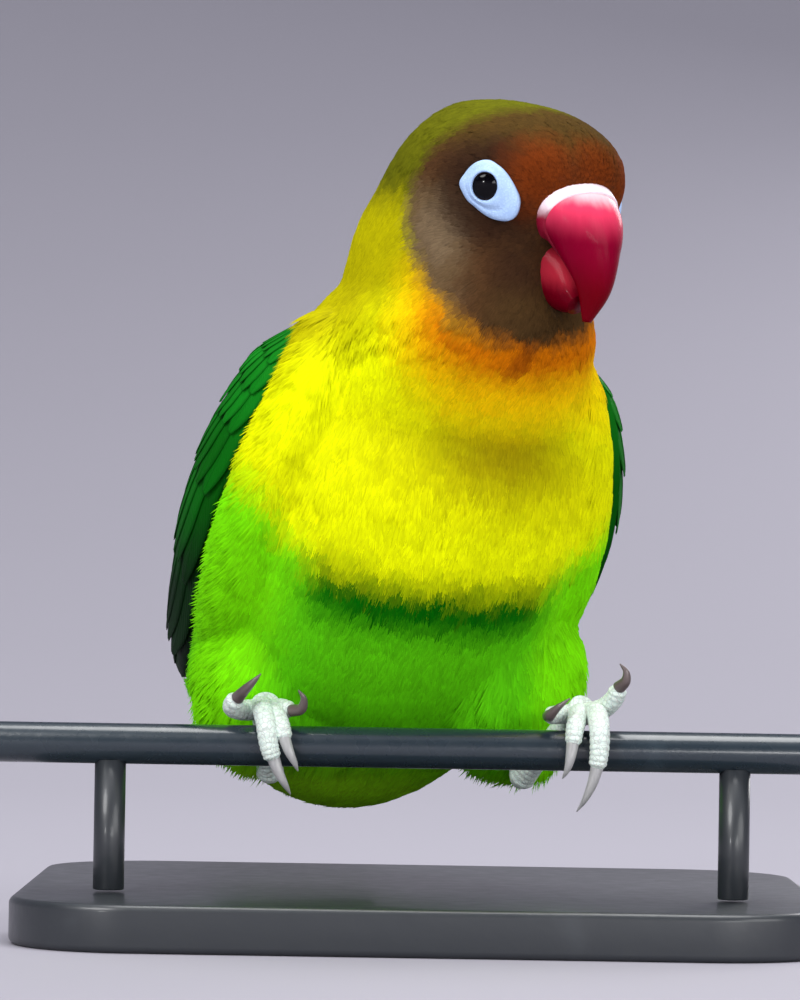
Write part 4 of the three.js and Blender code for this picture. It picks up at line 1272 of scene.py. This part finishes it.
def tail_mesh():
    draw = np.random.default_rng(TAIL_SEED)
    shell = Shell()
    angles = np.linspace(0, 2 * np.pi, TAIL["sides"], endpoint=False)
    block_y = np.linspace(0, TAIL["block"], 5)[:, None]
    block = placed(TAIL_FRAME, TAIL["half"] * np.sin(angles) + 0 * block_y, block_y + 0 * angles,
                   TAIL["level"] - TAIL["tall"] * np.cos(angles) + 0 * block_y)
    shell.add(block, np.zeros(TAIL["sides"]), 0.3)
    length, first = TAIL["length"], RECTRICES["middle"]
    rectrices = [(0.0, length, first, 0.0, 1), (-RECTRICES["drop"], length, first, 0.0, -1)]
    for side in SIDES.values():
        for pair in range(RECTRICES["pairs"]):
            length = TAIL["length"] - RECTRICES["shorter"] * (pair + 0.5)
            rectrices.append((-RECTRICES["drop"] * (pair + 2), length, RECTRICES["first"], pair, side))
    for level, length, first, pair, side in rectrices:
        def place(u, x, lift, level=level, length=length, first=first, pair=pair, side=side):
            spread = pair * (RECTRICES["root_pitch"] + (RECTRICES["tip_pitch"] - RECTRICES["root_pitch"]) * u)
            middle = side * (first + spread)
            return placed(TAIL_FRAME, middle + x, length * u, lift - RECTRICES["arch"] * (middle + x) ** 2)
        lifts = [level - RECTRICES["rise"], level]
        shell.add(vane_rings(ROUND, RECTRICES["width"], lifts, place), VANE_ACROSS, draw.uniform(0, 1))
    for values in TAIL_COVERTS:
        tier = dict(zip(COVERT_FIELDS, values))
        for index in range(tier["count"]):
            middle = (index - (tier["count"] - 1) / 2) * tier["spread"]
            stagger = COVERT["stagger"] * (index % 2)
            length = tier["length"] * draw.uniform(COVERT["shortest"], 1.0)

            def place(u, x, lift, tier=tier, middle=middle, stagger=stagger, length=length):
                arch = COVERT["arch"] * (middle + x) ** 2
                high = tier["level"] + stagger + lift + COVERT["raise"] - arch
                return placed(TAIL_FRAME, middle + x, length * u, high if tier["face"] > 0 else -high)
            rings = vane_rings(SHORT, tier["width"], COVERT["lifts"], place)
            shell.add(rings, VANE_ACROSS, draw.uniform(0, 1))
    print("tail", shell.count - 1, "feathers")
    return shell.mesh("feathered_tail")


TAIL_COLOURS = {
    "main": paint(34, 128, 22), "light": paint(84, 160, 30),
    "edge": paint(16, 84, 24), "dark": paint(20, 30, 20),
}


def tail_finish():
    finish = Finish("tail_vanes", Roughness=0.6, Specular_IOR_Level=0.2)
    along, height = frame_axes(finish, finish.place(), TAIL_FRAME)[1:]
    bar = finish.rise(along, 26.0, 29.0) * finish.rise(along, 36.0, 32.0)
    colour = vane_colour(finish, TAIL_COLOURS, bar * 0.7)
    bluish = finish.rise(along, 24.0, 14.0) * finish.rise(height, 0.0, 1.0)
    finish.set(Base_Color=finish.mix(colour, paint(58, 110, 120), bluish * 0.6))
    return finish.material


tail = add_object("feathered_tail", tail_mesh())
dressed(tail, tail_finish(), "tail_feathers", "tail")

# %% [markdown]
# The bill is horn, smooth and waxy. Upper and lower halves are lofts of the same kind as the trunk,
# with enough rings that no facet shows. The white cere is the bill's own form, slightly swollen,
# kept only where it comes within reach of the face, with two nostrils sunk in it and its edges
# melted round by a fine remesh.
# %% Bill and cere
BILL_UPPER = [
    [-5.6, 0.4, 6.1, 3.4, 4.6],
    [-9.4, 0.2, 6.1, 4.3, 4.9],
    [-12.4, -1.8, 5.7, 4.7, 4.4],
    [-13.8, -5.6, 4, 2.7, 4.4],
    [-15, -9.6, 2.3, 0.9, 3.2],
    [-15.1, -13.8, 0.6, 0.4, 0.6],
]
BILL_LOWER = [
    [-6, -5.5, 3.8, 4.4, 3],
    [-9.5, -8, 2.8, 4.2, 3],
    [-12, -10, 2.5, 3.4, 2.2],
    [-13.7, -11.4, 1.8, 2, 1.2],
]
BILL_MESH = {"rows": 56, "sides": 64, "tip": 0.999}
CERE = {
    "thick": 1.5, "raise": 0.8, "proud": 0.25, "voxel": 0.16, "smoothing": 4, "reddens": (0.8, -1.4),
}
NOSTRIL = {"radius": 0.4, "across": 2.2, "y": -14.3, "z": 3.1}
HORN = {"rosy": (3.2, 0.6), "red": (1.6, -4.0), "deep": (-3.0, -10.0), "dusky": (-7.0, -10.0)}
HORN_GRAIN = (900.0, 900.0, 120.0)
HEAD_GRID = (40, 72)


def bill_rings(table, lift=0.0):
    t = np.linspace(0, BILL_MESH["tip"], BILL_MESH["rows"])[:, None]
    angles = np.linspace(0, 2 * np.pi, BILL_MESH["sides"], endpoint=False)[None, :]
    return loft_point(HEAD_FRAME, table, t + 0 * angles, angles + 0 * t, lift)


def head_reach_rings(lift):
    t = np.linspace(0, 0.995, HEAD_GRID[0])[:, None]
    angles = np.linspace(0, 2 * np.pi, HEAD_GRID[1], endpoint=False)[None, :]
    raised = unit(HEAD_FRAME[:3, 2]) * CERE["raise"] * MM
    return head_point(t, angles, lift) + raised


def cut(target, tool, operation):
    modifier = with_modifier(target, "BOOLEAN", operation=operation, solver="EXACT")
    modifier.object = tool
    baked_modifiers(target)
    bpy.data.objects.remove(tool)


def horn_finish(name, deep):
    """Red horn: rosy near the cere, deep red below, with fine growth streaks along it."""
    finish = Finish(name, Roughness=0.25, Specular_IOR_Level=0.03, Coat_Weight=0.03, Coat_Roughness=0.05)
    height = frame_axes(finish, finish.place(), HEAD_FRAME)[2]
    streaks = finish.noise(finish.stretched(finish.place(), HORN_GRAIN), 1.0, 3.0)
    if deep:
        share = finish.rise(height + streaks * 2.0, *HORN["dusky"])
        colour = finish.mix(paint(160, 34, 50), paint(96, 0, 18), share)
    else:
        share = finish.rise(height + streaks, *HORN["rosy"])
        colour = finish.mix(paint(250, 206, 210), paint(226, 62, 96), share)
        colour = finish.mix(colour, paint(124, 0, 36), finish.rise(height + streaks, *HORN["red"]))
        share = finish.rise(height + streaks * 2.0, *HORN["deep"])
        colour = finish.mix(colour, paint(104, 0, 14), share)
    finish.set(Base_Color=colour)
    finish.relief(streaks, 0.05 * MM)
    return finish.material


upper_bill = add_object("upper_bill", ring_mesh("upper_bill", bill_rings(BILL_UPPER)))
dressed(upper_bill, horn_finish("bill_horn", False), "bill", "bill_upper")
lower_bill = add_object("lower_bill", ring_mesh("lower_bill", bill_rings(BILL_LOWER)))
dressed(lower_bill, horn_finish("lower_horn", True), "bill", "bill_lower")


def cere_finish():
    """White skin on top, which gives way to the bill's red down its sides."""
    finish = Finish("cere_skin", Roughness=0.5, Specular_IOR_Level=0.25)
    height = frame_axes(finish, finish.place(), HEAD_FRAME)[2]
    cloud = finish.noise(finish.place(), 800.0, 3.0)
    white = finish.mix(paint(236, 200, 210), paint(250, 238, 244), cloud + 0.2)
    low = finish.rise(height + cloud, *CERE["reddens"])
    finish.set(Base_Color=finish.mix(white, paint(140, 12, 44), low))
    finish.relief(cloud, 0.03 * MM)
    return finish.material


cere = add_object("soft_cere", ring_mesh("soft_cere", bill_rings(BILL_UPPER, CERE["proud"])))
cut(cere, add_object("reach", ring_mesh("reach", head_reach_rings(CERE["thick"]))), "INTERSECT")
for side in SIDES.values():
    bpy.ops.mesh.primitive_uv_sphere_add(radius=NOSTRIL["radius"] * MM, segments=20, ring_count=12)
    hole = bpy.context.object
    hole.location = placed(HEAD_FRAME, side * NOSTRIL["across"], NOSTRIL["y"], NOSTRIL["z"])
    cut(cere, hole, "DIFFERENCE")
with_modifier(cere, "REMESH", mode="VOXEL", voxel_size=CERE["voxel"] * MM)
with_modifier(cere, "SMOOTH", factor=0.5, iterations=CERE["smoothing"])
baked_modifiers(cere)
dressed(cere, cere_finish(), "cere", "cere")
print("cere", len(cere.data.polygons), "faces")

# %% [markdown]
# The white ring round the eye is bare skin with a raised lid. One small profile runs round the eye
# at a changing distance, so that the ring reaches far towards the bill and has a soft fold below.
# The eye is a glossy ball set as deep as a real one, almost black, with a brown iris that only
# shows at its rim. The left eye sits further back, as its ring doesn't show past the bill.
# %% Eyes
EYE = {
    "t": 0.417, "angle": {-1: 56, 1: 66}, "ball": 3.3, "sunk": 2.6, "opening": (1.6, 1.78),
    "iris": (1.4, 1.75), "grid": (48, 28),
}
FAR_RING = {"shorter": 0.4, "deeper": 0.8, "towards": 0.5}
RING_REACH = [3.8, 3.2, 3.0, 3.0, 3.2, 3.2, 3.1, 3.1, 3.4, 3.1, 3.0, 3.0, 3.5, 4.4, 5.3, 4.8]
LID_PROFILE = [
    (0.0, 0.2), (0.0, 0.52), (0.04, 0.7), (0.1, 0.78), (0.18, 0.76), (0.28, 0.64), (0.38, 0.5), (0.48, 0.4),
    (0.56, 0.34), (0.66, 0.27), (0.78, 0.16), (0.9, 0.0), (1.0, -0.2), (1.0, -1.1), (0.5, -0.9), (0.1, -0.4),
]
LID_FOLD = {"share": 0.5, "half": 0.09, "deep": 0.16}
LID_SIDES = 72
RING_GRAIN = 3600.0


def eye_frame(side):
    """Columns: towards the bill, up, outwards and the place, in metres for millimetre sizes."""
    angle = side * math.radians(EYE["angle"][side])
    at = head_point(EYE["t"], angle)
    towards = -side * unit(head_point(EYE["t"], angle + STEP) - at)
    up = head_point(EYE["t"] + STEP, angle) - at
    out = unit(np.cross(towards, up)) * -side
    up = np.cross(out, towards) * -side
    matrix = np.eye(4)
    matrix[:3, 0], matrix[:3, 1], matrix[:3, 2] = towards * MM, up * MM, out * MM
    matrix[:3, 3] = at
    return matrix


def lid_rings(side):
    angles = np.linspace(0, 2 * np.pi, LID_SIDES, endpoint=False)
    around = [[reach] for reach in RING_REACH[-2:] + RING_REACH + RING_REACH[:3]]
    share_round = (2 + len(RING_REACH) * angles / (2 * np.pi)) / (len(around) - 1)
    reach = columns(around, share_round)[0]
    if side > 0:
        reach = reach * (1 - FAR_RING["shorter"] * np.maximum(0, np.cos(angles + FAR_RING["towards"])))
    opening = np.hypot(EYE["opening"][0] * np.cos(angles), EYE["opening"][1] * np.sin(angles))
    below = np.maximum(0, -np.sin(angles))
    rings = []
    for share, height in LID_PROFILE:
        radius = opening + (reach - opening) * share
        fold = LID_FOLD["deep"] * math.exp(-(((share - LID_FOLD["share"]) / LID_FOLD["half"]) ** 2))
        level = height - fold * below * (height > 0) - FAR_RING["deeper"] * share * (side > 0)
        rings.append(placed(eye_frame(side), radius * np.cos(angles), radius * np.sin(angles), level))
    return np.array(rings)


def hoop_mesh(name, rings):
    """A closed ring: its last section meets the first."""
    count, sides = rings.shape[:2]
    faces = []
    for ring in range(count):
        for side in range(sides):
            a, b = ring * sides + side, ring * sides + (side + 1) % sides
            c, d = (ring + 1) % count * sides + (side + 1) % sides, (ring + 1) % count * sides + side
            faces.append((a, b, c, d))
    return outward(mesh_of(name, rings.reshape(-1, 3), faces))


def eyeball_rings(side):
    turns = np.linspace(0, 2 * np.pi, EYE["grid"][0], endpoint=False)[None, :]
    tilt = np.linspace(0.02, np.pi - 0.02, EYE["grid"][1])[:, None]
    ball = EYE["ball"]
    flat = ball * np.sin(tilt)
    return placed(eye_frame(side), flat * np.cos(turns), flat * np.sin(turns),
                  ball * np.cos(tilt) - EYE["sunk"] + 0 * turns)


def ring_finish():
    """Bare bluish white skin, finely pebbled, with painted shade that makes it a little darker in its
    creases.
    """
    finish = Finish("eye_ring_skin", Roughness=0.55, Specular_IOR_Level=0.25)
    place = finish.place()
    pebbles = finish.node("ShaderNodeTexVoronoi", None, {"Vector": place, "Scale": RING_GRAIN})
    creases = finish.rise(pebbles, 0.6, 0.2)
    cloud = finish.noise(place, RING_GRAIN * 0.15, 3.0)
    # Painted shade: the darker blue lies in the creases between the pebbles.
    finish.set(Base_Color=finish.mix(paint(150, 180, 224), paint(180, 208, 244), creases * 0.4 + cloud))
    finish.relief(creases, 0.02 * MM)
    return finish.material


def eye_finish():
    finish = Finish("wet_eye", Roughness=0.07, Specular_IOR_Level=0.16)
    from_middle = finish.attribute("iris")
    rim = finish.rise(from_middle, *EYE["iris"])
    finish.set(Base_Color=finish.mix(paint(4, 3, 6), paint(40, 24, 18), rim))
    return finish.material


ring_material = ring_finish()
eye_material = eye_finish()
for side_name, side in SIDES.items():
    name = f"lid_ring_{side_name}"
    lid_ring = add_object(name, hoop_mesh(name, lid_rings(side)))
    dressed(lid_ring, ring_material, "eye_ring", f"eye_ring_{side_name}")
    ball_mesh = ring_mesh(f"eyeball_{side_name}", eyeball_rings(side))
    inverse = np.linalg.inv(eye_frame(side))
    local = [inverse[:3, :3] @ np.array(vertex.co) + inverse[:3, 3] for vertex in ball_mesh.vertices]
    store(ball_mesh, "iris", "FLOAT", [math.hypot(x, y) for x, y, _ in local])
    dressed(add_object(ball_mesh.name, ball_mesh), eye_material, "eye", f"eye_{side_name}")
print("eyes", LID_SIDES, "points round each lid")

# %% [markdown]
# A parrot grips with two toes in front and two turned back. Each toe is a limb along a bent path,
# and its skin carries rows of scutes, which are rings of the limb that swell and narrow in turn.
# The claws are curved cones of darker horn.
# %% Feet
FEET = {
    "right": {
        "tarsus": [[-20.3, 1.6, 5.2, 1.9], [-20.4, 5.2, 3, 1.6], [-20.2, 9.6, -1.6, 1.5],
                   [-19.6, 12.8, -5, 2]],
        "toes": [
            [[-19.8, 3, 4.6, 1.2], [-18.3, 0.2, 4.9, 1.15], [-16.6, -2, 4.6, 1]],
            [[-20, 3, 4.6, 1.3], [-19.2, -0.6, 4.6, 1.2], [-18.2, -3.3, 2.8, 1.15], [-17.5, -4.2, 0.6, 0.95]],
            [[-20.5, 3, 4.6, 1.4], [-20.6, -0.6, 4.9, 1.35], [-20.1, -3.6, 3.2, 1.3],
             [-19.6, -4.5, 0.2, 1.2], [-18.9, -4.4, -1.9, 1.05]],
            [[-20.6, 3, 4.6, 1.4], [-23.3, 1.4, 4.5, 1.3], [-24.5, -0.6, 5, 1.2], [-23.6, -2.5, 6.5, 1.1]],
        ],
        "claws": [
            [[-16.9, -1.7, 4.6, 0.8], [-15.6, -2.8, 4.9, 0.68], [-15.3, -3.6, 6.2, 0.42],
             [-16, -4, 7.3, 0.08]],
            [[-17.7, -4.1, 1.2, 0.8], [-17, -4.7, -0.6, 0.62], [-16.3, -4.5, -2, 0.38],
             [-15.9, -3.9, -3, 0.08]],
            [[-19.1, -4.4, -1.2, 0.85], [-18.3, -4.7, -3.2, 0.66], [-17.4, -4.3, -4.9, 0.4],
             [-16.8, -3.4, -6, 0.08]],
            [[-23.8, -2.3, 6.1, 0.85], [-22.9, -3.6, 7.1, 0.66], [-21.7, -4.3, 8.3, 0.4],
             [-20.8, -4.4, 9.3, 0.08]],
        ],
    },
    "left": {
        "tarsus": [[20.6, 1.6, 5.4, 1.9], [18.4, 5.2, 3, 1.6], [14.8, 9.6, -1.6, 1.5], [12.2, 12.8, -5, 2]],
        "toes": [
            [[19.8, 3, 4.6, 1.2], [17.6, 0.8, 4.6, 1.2], [15.6, -1.4, 4.4, 1.05]],
            [[20.2, 3, 4.6, 1.3], [19.8, -0.6, 4.7, 1.2], [19.3, -3.4, 2.9, 1.15], [19, -4.3, 0.5, 0.95]],
            [[20.8, 3, 4.6, 1.4], [22, -0.6, 4.9, 1.35], [22.4, -3.6, 3.2, 1.3], [22.4, -4.5, 0.1, 1.2],
             [22.1, -4.4, -2.4, 1.05]],
            [[21, 3, 4.6, 1.4], [23, 1.2, 5.4, 1.3], [24.4, -0.6, 6.8, 1.2], [25, -1.8, 8.6, 1.1]],
        ],
        "claws": [
            [[16, -1, 4.4, 0.8], [16.2, -2.9, 4.7, 0.68], [17.2, -4, 5.7, 0.42], [18.6, -4.3, 6.8, 0.08]],
            [[19, -4.2, 1, 0.8], [18.7, -4.7, -0.9, 0.62], [18.3, -4.5, -2.4, 0.38],
             [17.8, -3.9, -3.4, 0.08]],
            [[22.2, -4.4, -1.7, 0.85], [21.6, -4.7, -3.9, 0.66], [20.7, -4.3, -6, 0.4],
             [19.7, -3.4, -7.6, 0.08]],
            [[24.9, -1.7, 8.2, 0.85], [25.7, -2.7, 9.1, 0.66], [25.7, -3.1, 10.3, 0.4],
             [24.9, -3.1, 11.3, 0.08]],
        ],
    },
}
SCUTE = {"length": 0.8, "depth": 0.05, "rings_each": 6, "sides": 28, "long": 0.82}
CLAW_GRID = (20, 24)
SCALES = 1500.0


def scaly_rings(stops):
    lengths = np.linalg.norm(np.diff(np.array(stops)[:, :3], axis=0), axis=1).sum()
    scutes = max(3, round(lengths / SCUTE["length"]))
    rows = scutes * SCUTE["rings_each"]
    rings = limb_rings(stops, SCUTE["sides"], rows)
    phase = np.linspace(0, scutes, rows + 1) % 1.0
    arch = np.maximum(0, np.sin(np.pi * phase / SCUTE["long"])) ** 0.6
    swell = SCUTE["depth"] * np.where(phase < SCUTE["long"], arch, -0.5)
    middle = rings.mean(1, keepdims=True)
    radius = np.linalg.norm(rings - middle, axis=-1, keepdims=True) / MM
    close = np.sqrt(np.clip((np.linspace(lengths, 0, rows + 1)) / radius[:, 0, 0], 0.05, 1))
    return middle + (rings - middle) * close[:, None, None] * (1 + swell[:, None, None] / radius)


def foot_finish():
    """Pale scaly skin, pinkish grey in the furrows between the scutes."""
    finish = Finish("scaly_skin", Roughness=0.5, Subsurface_Weight=0.1, Subsurface_Scale=0.2)
    finish.set(Subsurface_Radius=(0.003, 0.0015, 0.001))
    place = finish.place()
    settings = {"feature": "DISTANCE_TO_EDGE"}
    cells = finish.node("ShaderNodeTexVoronoi", settings, {"Vector": place, "Scale": SCALES})
    furrow = finish.rise(cells, 0.12, 0.0)
    cloud = finish.noise(place, 420.0, 3.0)
    colour = finish.mix(paint(228, 242, 232), paint(196, 210, 200), cloud)
    finish.set(Base_Color=finish.mix(colour, paint(150, 146, 146), furrow * 0.45))
    finish.relief(1.0 - furrow, 0.03 * MM)
    return finish.material


def claw_finish(name, deep, pale):
    finish = Finish(name, Roughness=0.32, Coat_Weight=0.2)
    streaks = finish.noise(finish.stretched(finish.place(), (700.0, 700.0, 160.0)), 1.0, 3.0)
    finish.set(Base_Color=finish.mix(deep, pale, streaks))
    finish.relief(streaks, 0.05 * MM)
    return finish.material


foot_material = foot_finish()
raised_claw = claw_finish("raised_claw_horn", paint(66, 54, 52), paint(112, 100, 98))
gripping_claw = claw_finish("gripping_claw_horn", paint(120, 120, 122), paint(186, 186, 184))
CLAWS = [raised_claw, gripping_claw, gripping_claw, raised_claw]
for side_name, foot in FEET.items():
    forms = [closed_rings(scaly_rings(stops)) for stops in [foot["tarsus"], *foot["toes"]]]
    name = f"scaly_foot_{side_name}"
    dressed(add_object(name, joined(name, forms)), foot_material, "foot_skin", f"foot_{side_name}")
    for number, (stops, horn) in enumerate(zip(foot["claws"], CLAWS), start=1):
        name = f"horn_claw_{side_name}_{number}"
        claw = add_object(name, ring_mesh(name, limb_rings(stops, *CLAW_GRID)))
        dressed(claw, horn, "claw", f"claw_{side_name}_{number}")
print("feet with", SCUTE["sides"], "points round each toe")

# %% [markdown]
# The rail is steel wire in a glossy slate coating, and the stand under it is plain painted steel.
# Both are lathed or bevelled finely here, so that their highlights run smoothly.
# %% Rail and stand
RAIL = {"diameter": 5.2, "length": 114.0, "round": 0.5, "sides": 64}
BASE = {"corner": 16.0, "round": 0.9}
ROD = {"sides": 48, "round": 0.15}
CORNER_STEPS = 16


def lathed_rings(profile, sides, matrix):
    """Rings round the x axis; the profile holds x and radius in millimetres."""
    angles = np.linspace(0, 2 * np.pi, sides, endpoint=False)
    y, z = np.cos(angles), np.sin(angles)
    return np.array([placed(matrix, x + 0 * angles, r * y, r * z) for x, r in profile])


def rail_profile():
    half, radius, bend = RAIL["length"] / 2, RAIL["diameter"] / 2, RAIL["round"]
    turns = np.linspace(0, math.pi / 2, 7)
    end = [(half - bend + bend * math.sin(a), radius - bend + bend * math.cos(a)) for a in turns]
    return [(-x, r) for x, r in reversed(end)] + end


def coated_finish(name, colour, fleck, roughness, coat):
    finish = Finish(name, Metallic=0.0, Coat_Weight=coat, Coat_Roughness=0.12)
    place = finish.place()
    peel = finish.noise(place, 420.0, 2.0)
    wear = finish.rise(finish.noise(place, 60.0, 5.0), 0.62, 0.78)
    finish.set(Base_Color=finish.mix(colour, fleck, wear * 0.35))
    finish.set(Roughness=roughness + (peel - 0.5) * 0.12)
    finish.relief(peel, 0.05 * MM)
    return finish.material


rail_material = coated_finish("rail_coating", paint(30, 42, 50), paint(74, 90, 100), 0.28, 0.5)
stand_material = coated_finish("stand_enamel", paint(38, 42, 46), paint(70, 74, 78), 0.4, 0.2)
rail_rings = lathed_rings(rail_profile(), RAIL["sides"], PERCH_FRAME)
rail = add_object("coated_rail", ring_mesh("coated_rail", rail_rings))
dressed(rail, rail_material, "perch_coating", "perch_rail")


def base_mesh():
    low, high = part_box("stand_base")
    shape = bmesh.new()
    corner = BASE["corner"] * MM
    middles = [(high.x - corner, high.y - corner, 0), (low.x + corner, high.y - corner, 90),
               (low.x + corner, low.y + corner, 180), (high.x - corner, low.y + corner, 270)]
    rim = []
    for x, y, start in middles:
        for step in range(CORNER_STEPS + 1):
            angle = math.radians(start + 90 * step / CORNER_STEPS)
            rim.append(shape.verts.new((x + corner * math.cos(angle), y + corner * math.sin(angle), low.z)))
    bottom = shape.faces.new(rim)
    lifted = bmesh.ops.extrude_face_region(shape, geom=[bottom])["geom"]
    for corner_point in (part for part in lifted if isinstance(part, bmesh.types.BMVert)):
        corner_point.co.z = high.z
    rim_edges = [edge for edge in shape.edges if edge.verts[0].co.z == edge.verts[1].co.z]
    bmesh.ops.bevel(shape, geom=rim_edges, offset=BASE["round"] * MM, segments=5, affect="EDGES", profile=0.5)
    bmesh.ops.recalc_face_normals(shape, faces=shape.faces)
    mesh = bpy.data.meshes.new("painted_base")
    shape.to_mesh(mesh)
    shape.free()
    return mesh


dressed(add_object("painted_base", base_mesh()), stand_material, "stand_paint", "stand_base")
for side_name in SIDES:
    node_name = f"stand_rod_{side_name}"
    low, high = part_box(node_name)
    foot = ((low.x + high.x) / 2, (low.y + high.y) / 2, low.z)
    upright = np.array(Matrix.Translation(foot) @ turn("Y", -90))
    upright[:3, :3] *= MM
    tall, radius = (high.z - low.z) / MM, (high.x - low.x) / 2 / MM
    profile = [(0.0, radius - ROD["round"]), (ROD["round"], radius), (tall, radius)]
    name = f"painted_rod_{side_name}"
    rod = add_object(name, ring_mesh(name, lathed_rings(profile, ROD["sides"], upright)))
    dressed(rod, stand_material, "stand_paint", node_name)
print("rail and stand done")
